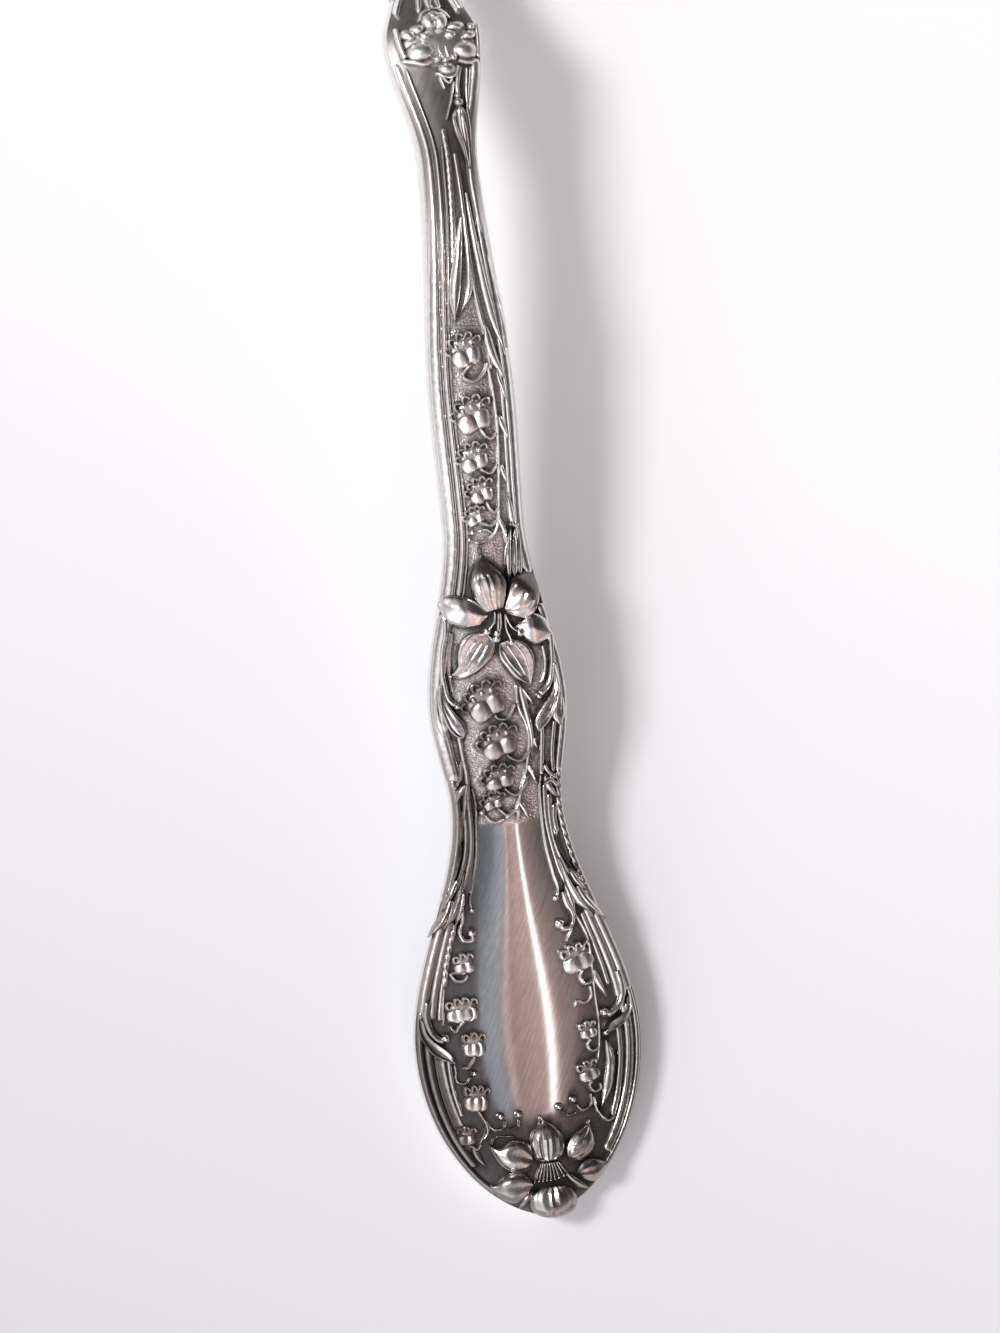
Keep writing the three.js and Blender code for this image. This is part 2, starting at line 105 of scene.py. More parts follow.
class Kind(Enum):
    """The kinds of shader node in use."""

    ATTRIBUTE = "ShaderNodeAttribute"
    BACKGROUND = "ShaderNodeBackground"
    BUMP = "ShaderNodeBump"
    CELLS = "ShaderNodeTexVoronoi"
    COORDINATES = "ShaderNodeTexCoord"
    MAPPING = "ShaderNodeMapping"
    MATH = "ShaderNodeMath"
    METAL = "ShaderNodeBsdfPrincipled"
    MIX = "ShaderNodeMix"
    NOISE = "ShaderNodeTexNoise"
    RAMP = "ShaderNodeValToRGB"
    RANGE = "ShaderNodeMapRange"
    RAYS = "ShaderNodeLightPath"
    SEPARATE = "ShaderNodeSeparateXYZ"
    SURFACE = "ShaderNodeOutputMaterial"
    VECTOR_MATH = "ShaderNodeVectorMath"
    WORLD = "ShaderNodeOutputWorld"


def ease(stations: Sequence[float], values: Sequence[float]) -> Callable[[np.ndarray], np.ndarray]:
    """Makes a size that eases from each station's value to the next one's.

    Args:
        stations: Stations in millimetres, rising.
        values: The size at each station.

    Returns:
        A function of the station.
    """
    knots = np.asarray(stations, float)
    sizes = np.asarray(values, float)

    def size(s: np.ndarray) -> np.ndarray:
        """The size at a station.

        Args:
            s: Stations.

        Returns:
            The size at each station.
        """
        clipped = np.clip(s, knots[0], knots[-1])
        i = np.clip(np.searchsorted(knots, clipped, side="right") - 1, 0, len(knots) - 2)
        t = (clipped - knots[i]) / (knots[i + 1] - knots[i])
        return sizes[i] + (sizes[i + 1] - sizes[i]) * t * t * (3 - 2 * t)

    return size


def smooth_step(low: float, high: float, value: np.ndarray) -> np.ndarray:
    """Eases from 0 at the low value to 1 at the high one."""
    t = np.clip((value - low) / (high - low), 0, 1)
    return t * t * (3 - 2 * t)


def smooth_path(points: Path, count: int) -> np.ndarray:
    """Spaces points evenly along a smooth line.

    Args:
        points: The places that the line goes through.
        count: How many points to give back.

    Returns:
        An array of stations and offsets.
    """
    given = np.asarray(points, float)
    knots = np.concatenate([[0], np.cumsum(np.linalg.norm(np.diff(given, axis=0), axis=1))])
    if len(given) == 2:
        slopes = np.repeat((given[1:] - given[:1]) / knots[-1], 2, axis=0)
    else:
        slopes = np.gradient(given, knots, axis=0)
    at = np.linspace(0, knots[-1], count)
    i = np.clip(np.searchsorted(knots, at, side="right") - 1, 0, len(given) - 2)
    span = (knots[i + 1] - knots[i])[:, None]
    t = (at - knots[i])[:, None] / span
    start = (1 + 2 * t) * (1 - t) ** 2 * given[i] + t * (1 - t) ** 2 * span * slopes[i]
    end = t * t * (3 - 2 * t) * given[i + 1] - t * t * (1 - t) * span * slopes[i + 1]
    return start + end


@dataclass(frozen=True)
class ForkForm:
    """The fork's outline, arch and thickness, as in the CAD frame, in millimetres."""

    belly: float = 21
    waist: float = 49.5
    swell: float = 61.5
    grip: float = 83
    stem: float = 97
    throat: float = 126
    knuckle: float = 140.5
    joint: float = 146
    neck: float = 149
    palm: float = 176
    heel: float = 184
    slots: float = 190
    tips: float = 232
    tip_half: float = 1.5
    tip_point: float = 0.6
    belly_half: float = 13.9
    waist_half: float = 6.9
    swell_half: float = 8.45
    grip_half: float = 4.95
    stem_half: float = 5.2
    throat_half: float = 3.65
    knuckle_half: float = 5.8
    neck_half: float = 3.2
    palm_half: float = 20.5
    tips_half: float = 18.6
    arch_rise: float = 14.5
    tine_rise: float = 9
    rest_flat: float = 0.3
    face_crown: float = 1.1
    back_round: float = 0.8
    head_cup: float = 1.5

    def half(self, s: np.ndarray) -> np.ndarray:
        """Half the fork's width at a station.

        Args:
            s: Stations.

        Returns:
            Half widths.
        """
        stations = [self.belly, self.waist, self.swell, self.grip, self.stem, self.throat]
        stations += [self.knuckle, self.neck, self.palm, self.slots, self.tips]
        sizes = [self.belly_half, self.waist_half, self.swell_half, self.grip_half, self.stem_half]
        sizes += [self.throat_half, self.knuckle_half, self.neck_half, self.palm_half, self.palm_half]
        body = ease(stations, sizes + [self.tips_half])(s)
        cut = math.sqrt(1 - (self.tip_half / self.belly_half) ** (1 / self.tip_point))
        share = np.clip(1 - np.asarray(s) / self.belly, 0, 1)
        tip = self.belly_half * (1 - (cut * share) ** 2) ** self.tip_point
        return np.where(np.asarray(s) < self.belly, tip, body)

    def side_bulge(self, s: np.ndarray) -> np.ndarray:
        """How far the rounded sides stand out past the face's edges."""
        stations = [0, self.waist, 75, self.stem, self.throat, self.knuckle, self.neck]
        return ease(stations, [0.2, 0.3, 0.35, 0.45, 0.6, 0.4, 0.3])(s)

    def face_half(self, s: np.ndarray) -> np.ndarray:
        """Half the face's width at a station."""
        return self.half(s) - self.side_bulge(s)

    def thickness(self, s: np.ndarray) -> np.ndarray:
        """The fork's thickness at a station."""
        stations = [self.belly, self.waist, self.stem, self.knuckle, self.neck, self.palm, self.tips]
        return ease(stations, [2.8, 3.4, 4.2, 4.6, 3.8, 2.4, 2])(s)

    def rise(self, s: np.ndarray) -> np.ndarray:
        """How far the arch and the tines lift the back off the table at a station.

        Args:
            s: Stations.

        Returns:
            Heights.
        """
        arch = ease([0, self.throat, self.heel], [0, self.arch_rise, 0])(s)
        past = np.clip((np.asarray(s) - self.heel) / (self.tips - self.heel), 0, 1)
        return arch + self.tine_rise * past**2

    def share(self, s: np.ndarray, u: np.ndarray) -> np.ndarray:
        """An offset's share of the half width, from -1 to 1."""
        return np.clip(u / self.half(s), -1, 1)

    def face_share(self, s: np.ndarray, u: np.ndarray) -> np.ndarray:
        """An offset's share of half the face's width, from -1 to 1."""
        return np.clip(u / self.face_half(s), -1, 1)

    def back(self, s: np.ndarray, u: np.ndarray) -> np.ndarray:
        """The height of the back over the table."""
        cup = ease([self.neck, self.palm], [self.back_round, self.head_cup])(s)
        return np.maximum(0, self.rise(s) + cup * self.share(s, u) ** 2 - self.rest_flat)

    def face(self, s: np.ndarray, u: np.ndarray) -> np.ndarray:
        """The height of the face over the table: crowned on the handle, cupped on the head.

        Args:
            s: Stations.
            u: Offsets.

        Returns:
            Heights.
        """
        crowned = np.maximum(0, self.rise(s) - self.rest_flat) + self.thickness(s)
        crowned = crowned + self.face_crown * (1 - self.face_share(s, u) ** 2)
        cupped = self.back(s, u) + self.thickness(s)
        blend = smooth_step(self.joint, self.neck + 9, np.asarray(s, float))
        return crowned * (1 - blend) + cupped * blend

    def along(self, s: np.ndarray) -> np.ndarray:
        """A station's place on the frame's Y axis, in millimetres."""
        return s - self.tips / 2

    def station(self, y: np.ndarray) -> np.ndarray:
        """The station of a place on the frame's Y axis, in millimetres."""
        return y + self.tips / 2


@dataclass(frozen=True)
class Strap:
    """A raised band on the handle's face, in millimetres.

    It follows a smooth line with a half width, or it fills the space between its path and another edge.
    """

    path: Path
    half: float
    high: float
    section: Section = Section.ROUND
    outline: Outline = Outline.BAND
    lift: float = 0.0
    rise: tuple[float, float, float] = (1.0, 1.0, 1.0)
    ribs: float = 5.0
    other: Path = ()
    narrow: float = 1.0
    flat: float = 0.7

    ROW_STEP = 0.2
    ROW_LIMITS = (8, 320)
    BROAD_COLUMNS = 20
    FOLDED_COLUMNS = 14
    PLAIN_COLUMNS = 9
    THIN_COLUMNS = 6
    THIN_HALF = 0.3
    # How blunt a blade is at its foot and at its point.
    BLADE_ENDS = (0.5, 0.85)

    def length(self) -> float:
        """The length of the path through its given places."""
        steps = np.diff(np.asarray(self.path, float), axis=0)
        return float(np.linalg.norm(steps, axis=1).sum())

    def rows(self) -> int:
        """How many steps the strap takes along its path."""
        return int(np.clip(self.length() / self.ROW_STEP, *self.ROW_LIMITS))

    def columns(self) -> int:
        """How many steps the strap takes across.

        Returns:
            The number of steps.
        """
        if self.other or self.section is Section.LOBED:
            return self.BROAD_COLUMNS
        folded = self.section in (Section.CUP, Section.RIBBED)
        count = self.FOLDED_COLUMNS if folded else self.PLAIN_COLUMNS
        return count if self.half > self.THIN_HALF else self.THIN_COLUMNS

    def widths(self, l: np.ndarray) -> np.ndarray:
        """The share of the half width at each share of the length.

        Args:
            l: Shares of the length.

        Returns:
            Shares of the half width.
        """
        end = np.clip(self.half / max(self.length(), 1e-6), 0.02, 0.5)
        near = np.clip(np.minimum(l, 1 - l) / end, 0, 1)
        if self.outline is Outline.BAND:
            thin = 1 - (1 - self.narrow) * smooth_step(0.4, 0.9, l)
            return thin * np.sqrt(np.clip(1 - (1 - near) ** 2, 0, 1))
        if self.outline is Outline.TAPER:
            return np.minimum(1, np.sqrt(l / end)) * np.clip(1 - l, 0, 1) ** 0.7
        if self.outline is Outline.DROP:
            return np.sqrt(np.clip(1 - (2 * l - 1) ** 2, 0, 1))
        if self.outline is Outline.CUSHION:
            return np.sqrt(np.clip(1 - np.abs(2 * l - 1) ** 3, 0, 1))
        foot, point = self.BLADE_ENDS
        peak = foot / (foot + point)
        shape = np.clip(l, 1e-6, 1) ** foot * np.clip(1 - l, 1e-6, 1) ** point
        return shape / (peak**foot * (1 - peak) ** point)

    def across(self, l: np.ndarray, t: np.ndarray) -> np.ndarray:
        """The share of the height at each share of the half width.

        Args:
            l: Shares of the length.
            t: Shares of the half width.

        Returns:
            Shares of the height.
        """
        dome = np.sqrt(np.clip(1 - t * t, 0, 1))
        edge = np.sqrt(np.clip(1 - np.abs(t) ** 10, 0, 1))
        if self.section is Section.SOFT:
            return np.cos(t * math.pi / 2) ** 1.3
        if self.section is Section.CUP:
            return (0.62 + 0.38 * np.abs(t) ** 2.4) * (0.35 + 0.65 * edge)
        if self.section is Section.LEAF:
            return (1 - 0.55 * np.abs(t) ** 1.4) * (0.3 + 0.7 * edge)
        if self.section is Section.RIBBED:
            deep = 0.085 * (1 - 0.8 * smooth_step(0.45, 0.7, l))
            return dome**self.flat * (1 - deep * (1 + np.cos(self.ribs * math.pi * t)))
        if self.section is Section.LOBED:
            swollen = np.abs(np.sin(self.ribs * math.pi * (t - 0.1 * (1 - t * t) + 1) / 2)) ** 0.6
            return dome**0.6 * (0.55 + 0.45 * swollen)
        if self.section is Section.ROPE:
            turns = self.length() / (2.4 * self.half)
            return dome * (0.7 + 0.3 * np.abs(np.cos(math.pi * (l * turns + 0.6 * t))))
        return dome

    def heights(self, l: np.ndarray, t: np.ndarray) -> np.ndarray:
        """The share of the height at each share of the length and of the half width.

        Args:
            l: Shares of the length.
            t: Shares of the half width.

        Returns:
            Shares of the height.
        """
        low, middle, top = self.rise
        first = low + (middle - low) * smooth_step(0, 0.5, l)
        spine = first + (top - middle) * smooth_step(0.5, 1, l)
        if self.other:
            return spine * self.across(l, t)
        if self.outline in (Outline.DROP, Outline.CUSHION):
            spine = spine * self.widths(l) ** (2 if self.section is Section.SOFT else 1)
        elif self.outline is Outline.BAND:
            spine = spine * (0.25 + 0.75 * self.widths(l))
        return spine * self.across(l, t)

    def plan(self, l: np.ndarray, t: np.ndarray) -> tuple[np.ndarray, np.ndarray]:
        """The station and offset at each share of the length and of the half width.

        Args:
            l: Shares of the length.
            t: Shares of the half width.

        Returns:
            Stations and offsets.
        """
        first = smooth_path(self.path, len(l))
        if self.other:
            last = smooth_path(self.other, len(l))
            share = (t + 1) / 2
            return tuple(first[:, i : i + 1] * (1 - share) + last[:, i : i + 1] * share for i in (0, 1))
        ahead = np.gradient(first, axis=0)
        ahead /= np.maximum(np.linalg.norm(ahead, axis=1, keepdims=True), 1e-9)
        reach = self.half * np.maximum(self.widths(l), 0.03) * t
        return first[:, :1] - ahead[:, 1:] * reach, first[:, 1:] + ahead[:, :1] * reach

    def points(self, form: ForkForm) -> np.ndarray:
        """Places the strap's top surface on the face.

        Args:
            form: The fork's form.

        Returns:
            Points in millimetres in the frame, row after row.
        """
        l = np.linspace(0, 1, self.rows() + 1)[:, None]
        t = np.sin(np.linspace(-1, 1, self.columns() + 1) * math.pi / 2)[None, :]
        s, u = self.plan(l, t)
        z = form.face(s, u) + self.lift + self.high * self.heights(l, t)
        return np.stack([u, form.along(s), z], axis=2).reshape(-1, 3)


def moved(strap: Strap, ahead: float, beside: float) -> Strap:
    """A strap moved along the fork and across it, in millimetres.

    Args:
        strap: The strap.
        ahead: Millimetres ahead.
        beside: Millimetres to the right.

    Returns:
        The moved strap.
    """
    path = [(s + ahead, u + beside) for s, u in strap.path]
    other = [(s + ahead, u + beside) for s, u in strap.other]
    return replace(strap, path=path, other=other)


def petal(left: Path, right: Path, high: float, section: Section,
          rise: tuple[float, float, float], lift: float = 0.2, ribs: float = 5.0, flat: float = 0.7) -> Strap:
    """A petal or leaf between two edges, both given from its foot to its point."""
    return Strap(left, 0.5, high, section, Outline.BAND, lift, rise, ribs, right, flat=flat)


def bead(s: float, u: float, radius: float, high: float, lift: float = 0.0) -> Strap:
    """A round bead at a place."""
    return Strap([(s - radius, u), (s + radius, u)], radius, high, outline=Outline.DROP, lift=lift)


def tendril(path: Path, half: float = 0.22, high: float = 0.65, lift: float = 0.0) -> Strap:
    """A thin even stalk along a path."""
    return Strap(path, half, high, lift=lift)


@dataclass(frozen=True)
class Turned:
    """A motif's own axes on the face: its middle, and its turn to the left in degrees."""

    s: float
    u: float
    turn: float

    def at(self, ahead: float, beside: float) -> Place:
        """The place that lies ahead of the motif's middle and beside it.

        Args:
            ahead: Millimetres ahead.
            beside: Millimetres to the right.

        Returns:
            The place.
        """
        angle = math.radians(self.turn)
        s = self.s + ahead * math.cos(angle) + beside * math.sin(angle)
        u = self.u - ahead * math.sin(angle) + beside * math.cos(angle)
        return (s, u)

    def path(self, places: Iterable[Place]) -> list[Place]:
        """A path given in the motif's own axes."""
        return [self.at(*place) for place in places]


class Shaping:
    """Turns straps into one closed mesh piece."""

    SINK = 0.35

    def __init__(self, form: ForkForm) -> None:
        """Keeps the form that the straps lie on."""
        self.form = form

    def build(self, name: str, straps: Sequence[Strap]) -> Piece:
        """Makes one piece of many straps: a grid each, laid on the face and extruded into the ground.

        Args:
            name: The piece's name.
            straps: The straps in it.

        Returns:
            The new piece.
        """
        bpy.ops.object.select_all(action="DESELECT")
        self._grid(straps[0])
        piece = bpy.context.object
        piece.name = name
        bpy.ops.object.mode_set(mode="EDIT")
        for strap in straps[1:]:
            self._grid(strap)
        bpy.ops.object.mode_set(mode="OBJECT")
        top = np.concatenate([strap.points(self.form) for strap in straps])
        piece.data.vertices.foreach_set("co", (top * MM).ravel())
        bpy.ops.object.mode_set(mode="EDIT")
        bpy.ops.mesh.select_all(action="SELECT")
        bpy.ops.mesh.extrude_region_move(TRANSFORM_OT_translate={"value": (0, 0, -self.SINK * MM)})
        bpy.ops.object.mode_set(mode="OBJECT")
        self._sink(piece, len(top))
        close_up(piece)
        return piece

    @staticmethod
    def _grid(strap: Strap) -> None:
        """Adds a strap's flat grid."""
        bpy.ops.mesh.primitive_grid_add(x_subdivisions=strap.columns(), y_subdivisions=strap.rows(), size=1)

    def _sink(self, piece: Piece, tops: int) -> None:
        """Sets the extruded undersides a little way into the ground.

        Args:
            piece: The piece.
            tops: How many of its vertices are on top.
        """
        points = coordinates(piece)
        under = points[tops:]
        s = self.form.station(under[:, 1])
        under[:, 2] = self.form.face(s, under[:, 0]) - self.SINK
        piece.data.vertices.foreach_set("co", (points * MM).ravel())


def coordinates(piece: Piece) -> np.ndarray:
    """A piece's vertices in millimetres.

    Args:
        piece: The piece.

    Returns:
        A row for each vertex.
    """
    flat = np.zeros(len(piece.data.vertices) * 3, np.float32)
    piece.data.vertices.foreach_get("co", flat)
    return flat.reshape(-1, 3).astype(float) / MM


def close_up(piece: Piece, angle: float = 50.0) -> None:
    """Turns a piece's faces outwards and smooths it up to an angle in degrees.

    Args:
        piece: The piece.
        angle: The largest angle that is smoothed.
    """
    bpy.ops.object.select_all(action="DESELECT")
    piece.select_set(True)
    bpy.context.view_layer.objects.active = piece
    bpy.ops.object.mode_set(mode="EDIT")
    bpy.ops.mesh.select_all(action="SELECT")
    bpy.ops.mesh.normals_make_consistent(inside=False)
    bpy.ops.object.mode_set(mode="OBJECT")
    bpy.ops.object.shade_smooth_by_angle(angle=math.radians(angle))


@dataclass(frozen=True)
class Lily:
    """An open lily: petals, and stamens that end in anthers."""

    name: str
    petals: Sequence[Strap]
    stamens: Sequence[Path] = ()
    stamen_lift: float = 0.5
    anther: float = 0.36
    extras: Sequence[Strap] = ()
    stamen_half: float = 0.16
    stamen_high: float = 0.4
    anther_high: float = 0.5

    def straps(self) -> list[Strap]:
        """All of the flower's straps.

        Returns:
            The straps.
        """
        parts = list(self.petals)
        for stamen in self.stamens:
            parts.append(tendril(stamen, self.stamen_half, self.stamen_high, self.stamen_lift))
            parts.append(bead(*stamen[-1], self.anther, self.anther_high, self.stamen_lift))
        return parts + list(self.extras)


@dataclass(frozen=True)
class Bell:
    """A bell flower lying on the face, with its mouth ahead and a hooked stalk behind.

    A garland's bell has a lobed body and a crown of curled tips. A spray's bell has two swollen cups and a
    wreath of small arches round its mouth.
    """

    name: str
    s: float
    u: float
    length: float
    width: float
    turn: float
    lobes: int
    hook: Path
    high: float = 1.15
    line: float = 0.16
    wreath: bool = False

    def straps(self) -> list[Strap]:
        """All of the bell's straps.

        Returns:
            The straps.
        """
        axes = Turned(self.s, self.u, self.turn)
        if self.wreath:
            parts = self.cups(axes) + self.scallops(axes)
        else:
            parts = self.body(axes) + self.crown(axes)
        hook = [axes.at(-0.4 * self.length, 0.04 * self.width), *self.hook]
        return parts + [tendril(hook, 0.24, 0.75, 0.1)]

    def body(self, axes: Turned) -> list[Strap]:
        """The lobed body of a garland's bell and the low bed under its crown.

        Args:
            axes: The bell's own axes.

        Returns:
            The straps.
        """
        long, wide = self.length, self.width
        bed = axes.path([(-0.2 * long, 0), (0.4 * long, 0)])
        spine = axes.path([(-0.48 * long, 0), (0.14 * long, 0)])
        return [
            Strap(bed, 0.4 * wide, 0.35, outline=Outline.DROP),
            Strap(spine, 0.47 * wide, 0.65 * self.high, Section.LOBED, Outline.CUSHION, ribs=self.lobes),
        ]

    def cups(self, axes: Turned) -> list[Strap]:
        """The two swollen lobes of a spray's bell and the small petals over them.

        Args:
            axes: The bell's own axes.

        Returns:
            The straps.
        """
        long, wide = self.length, self.width
        parts = [
            Strap(axes.path([(-0.3 * long, 0), (0.38 * long, 0)]), 0.42 * wide, 0.3, outline=Outline.DROP),
        ]
        for foot, top, half in ((-0.12, -0.25, 0.28), (0.12, 0.26, 0.24)):
            path = axes.path([(-0.47 * long, foot * wide), (0.1 * long, top * wide)])
            parts.append(Strap(path, half * wide, 0.7 * self.high, Section.LOBED, Outline.CUSHION, ribs=1))
        for beside in (-0.2, 0.03, 0.24):
            ahead = 0.2 - 0.8 * beside * beside
            ends = [((ahead - 0.1) * long, beside * wide), ((ahead + 0.1) * long, 1.2 * beside * wide)]
            parts.append(Strap(axes.path(ends), 0.08 * wide, 0.55, outline=Outline.DROP))
        return parts

    def scallops(self, axes: Turned) -> list[Strap]:
        """The row of small arches that wraps round the mouth of a spray's bell.

        Args:
            axes: The bell's own axes.

        Returns:
            The straps.
        """
        half, tall = 0.115 * self.width, 0.14 * self.length
        rise = [(-0.5 * tall, -half), (0.5 * tall, -0.75 * half)]
        arch = [*rise, (tall, 0), (0.6 * tall, 0.7 * half), (0, half)]
        parts = []
        for i in range(5):
            angle = 27 * (i - 2) - 4
            way = math.radians(angle)
            foot = axes.at((0.56 * math.cos(way) - 0.2) * self.length, 0.54 * self.width * math.sin(way))
            parts.append(tendril(Turned(*foot, self.turn - angle).path(arch), self.line, 0.65, 0.25))
        return parts

    def crown(self, axes: Turned) -> list[Strap]:
        """The curled tips that stand in a row on the mouth of a garland's bell.

        Args:
            axes: The bell's own axes.

        Returns:
            The straps.
        """
        count = 4 if self.width > 3.2 else 3
        half, tall = 0.34 * self.width / count, 0.2 * self.length
        rise = [(-0.4 * tall, -half), (0.6 * tall, -0.9 * half)]
        curl = [*rise, (tall, 0), (0.6 * tall, 0.9 * half), (0, 0.8 * half)]
        parts = []
        for i in range(count):
            share = ((i + 0.5) / count - 0.5) * 2
            foot = axes.at((0.24 - 0.13 * share * share) * self.length, 0.44 * share * self.width)
            path = Turned(*foot, self.turn - 25 * share).path(curl)
            parts.append(tendril(path, 1.3 * self.line, 0.75, 0.25))
        return parts


def leaf(path: Path, half: float, high: float = 1.0, lift: float = 0.1) -> Strap:
    """A creased leaf that is broad near its foot and ends in a point."""
    return Strap(path, half, high, Section.LEAF, Outline.BLADE, lift, (0.8, 1.0, 0.75))


def scroll(path: Path, half: float = 0.28, ball: float = 0.5, high: float = 0.7) -> list[Strap]:
    """A scroll that ends in a ball."""
    s, u = path[-1]
    return [tendril(path, half, high), bead(s, u, ball, 1.3 * high)]


class Flowers:
    """The three lilies of the handle."""

    def knuckle(self) -> Lily:
        """The lily at the knuckle, with its collar and calyx.

        Returns:
            The lily.
        """
        def bulb(s: float, u: float, wide: float, long: float, high: float, lean: float = 0.0) -> Strap:
            """A swollen petal that lies across the handle."""
            path = [(s - lean, u - wide), (s + lean, u + wide)]
            return Strap(path, long, high, outline=Outline.DROP)

        petals = [
            Strap([(140.2, -4.4), (140.2, 5.0)], 3.0, 0.7, Section.SOFT, Outline.DROP),
            *[bulb(*sizes) for sizes in (
                (139.4, -2.3, 1.8, 1.25, 1.5, 0.25), (139.1, 3.2, 1.6, 1.25, 1.5, -0.1),
                (142.9, -0.75, 1.0, 1.15, 1.7), (142.9, 0.6, 1.0, 1.15, 1.7), (143.6, -0.1, 0.9, 0.7, 1.4),
                (141.5, -3.5, 1.0, 0.75, 1.3, -0.2), (142.1, -2.3, 0.95, 0.6, 1.4, 0.2),
                (141.2, -1.5, 0.8, 0.6, 1.3), (142.1, 2.4, 1.2, 0.6, 1.4), (141.1, 1.6, 0.8, 0.55, 1.3),
                (140.9, 3.9, 1.0, 0.6, 1.3, 0.2), (141.9, 4.3, 0.6, 0.5, 1.3), (137.0, 0.6, 1.15, 0.85, 1.2),
                (138.3, -0.5, 0.55, 0.5, 1.2), (138.3, 1.5, 0.55, 0.5, 1.2), (138.1, 0.5, 0.5, 0.45, 1.2),
            )],
        ]
        stamens = [[(140.2, 0.0), (139.4, -0.1), (138.6, 0.2)], [(140.0, 0.6), (139.2, 0.8), (138.2, 0.9)]]
        collar = [
            tendril([(138.5, -4.6), (138.1, -3.2), (137.8, -1.8), (138.3, -0.9)], 0.3, 0.8, 0.2),
            tendril([(137.9, 1.9), (137.6, 3.2), (137.8, 4.5)], 0.3, 0.8, 0.2),
            tendril([(142.6, -4.7), (140.6, -4.6), (138.6, -4.2)], 0.36, 0.9, 0.1),
            tendril([(142.2, 5.0), (139.9, 4.9), (138.0, 4.6)], 0.36, 0.9, 0.1),
            tendril([(136.7, -0.9), (136.0, 0.2), (136.2, 1.4), (137.4, 2.0)], 0.24, 0.8, 0.1),
            tendril([(136.1, -0.2), (135.3, 0.5), (136.2, 1.2)], 0.2, 0.7, 0.1),
            tendril([(136.2, -0.5), (134.5, 0.0)], 0.2, 0.5),
            tendril([(135.6, 1.2), (133.1, 0.5), (130.8, -0.4)], 0.2, 0.5),
            tendril([(143.0, -1.9), (144.0, -1.3), (144.5, 0.0), (144.0, 1.2), (143.0, 1.9)], 0.22, 0.8, 0.1),
            bead(144.7, -0.1, 0.3, 0.8),
        ]
        return Lily("knuckle_lily", petals, stamens, 0.3, 0.34, collar)

    def middle(self) -> Lily:
        """The large open lily in the middle of the handle.

        Returns:
            The lily.
        """
        low = (0.6, 1.0, 0.6)
        petals = [
            petal([(69.6, -0.9), (69.9, -2.3), (69.4, -3.6), (68.3, -4.4), (67.1, -4.6), (66.2, -4.6),
                   (65.1, -5.6)],
                  [(69.4, -0.7), (68.5, 0.0), (67.4, -0.2), (66.1, -1.3), (65.1, -2.9), (64.7, -4.5),
                   (65.1, -5.6)],
                  1.05, Section.CUP, low, 0.1),
            petal([(68.2, 0.5), (66.9, 0.4), (65.6, 1.0), (64.1, 2.1), (63.0, 3.9)],
                  [(68.4, 0.7), (68.7, 2.2), (68.0, 3.7), (66.5, 4.6), (65.0, 4.5), (63.0, 3.9)],
                  1.05, Section.CUP, low, 0.1),
            petal([(72.2, -0.7), (73.4, -1.6), (74.4, -3.0), (74.7, -4.4), (74.7, -5.6), (73.8, -6.2)],
                  [(71.4, -0.8), (70.7, -1.6), (70.6, -2.6), (71.0, -4.5), (72.0, -5.7), (73.8, -6.2)],
                  1.5, Section.LEAF, (0.6, 1.0, 0.3), 0.25),
            petal([(70.1, 2.4), (70.9, 3.5), (71.6, 4.8), (71.2, 6.0), (70.1, 6.9), (68.8, 7.1)],
                  [(70.0, 2.5), (69.3, 3.1), (68.3, 3.9), (67.8, 4.9), (68.0, 6.0), (68.8, 7.1)],
                  1.5, Section.LEAF, (0.3, 1.0, 0.7), 0.25),
            petal([(72.2, -0.9), (73.4, -1.8), (75.0, -2.4), (77.0, -2.2), (78.2, -1.5), (79.1, -0.8)],
                  [(72.6, 1.4), (74.0, 1.8), (75.6, 1.9), (76.6, 1.3), (77.9, 0.2), (79.1, -0.8)],
                  2.2, Section.RIBBED, (0.3, 1.0, 0.05), 0.3, 8, 0.35),
            petal([(72.5, 1.5), (74.0, 1.9), (75.5, 2.3), (76.4, 3.8), (76.8, 5.1)],
                  [(71.9, 1.7), (71.2, 3.0), (71.1, 4.5), (72.7, 5.7), (75.2, 5.8), (76.8, 5.1)],
                  2.2, Section.RIBBED, (0.3, 1.0, 0.05), 0.3, 8, 0.35),
        ]
        stamens = [
            [(72.2, 0.2), (70.9, 0.0), (69.9, -0.9)], [(72.1, 0.8), (70.6, 0.8), (68.9, 0.2)],
            [(71.9, 1.4), (70.0, 1.4), (68.3, 2.0)], [(71.7, 1.4), (70.1, 2.1), (69.3, 3.1)],
            [(72.0, 0.6), (70.8, 0.5), (69.6, 0.3)],
        ]
        veins = [
            *[tendril(path, 0.14, 0.3, 0.72) for path in (
                [(69.0, -2.2), (67.6, -3.3), (65.8, -4.2)],
                [(68.8, -1.5), (67.2, -2.6), (65.3, -4.0)],
                [(68.5, -0.8), (66.8, -1.9), (65.2, -3.4)],
                [(68.1, 1.3), (66.4, 2.3), (64.2, 3.4)],
                [(68.2, 2.2), (66.6, 3.3), (64.4, 3.8)],
                [(67.4, 0.8), (65.8, 1.6), (64.2, 2.9)],
            )],
            bead(65.1, -5.6, 0.34, 0.8),
            tendril([(79.2, -0.8), (79.9, -1.0)], 0.22, 0.6, 0.2),
        ]
        return Lily("middle_lily", petals, stamens, 0.9, 0.46, veins)

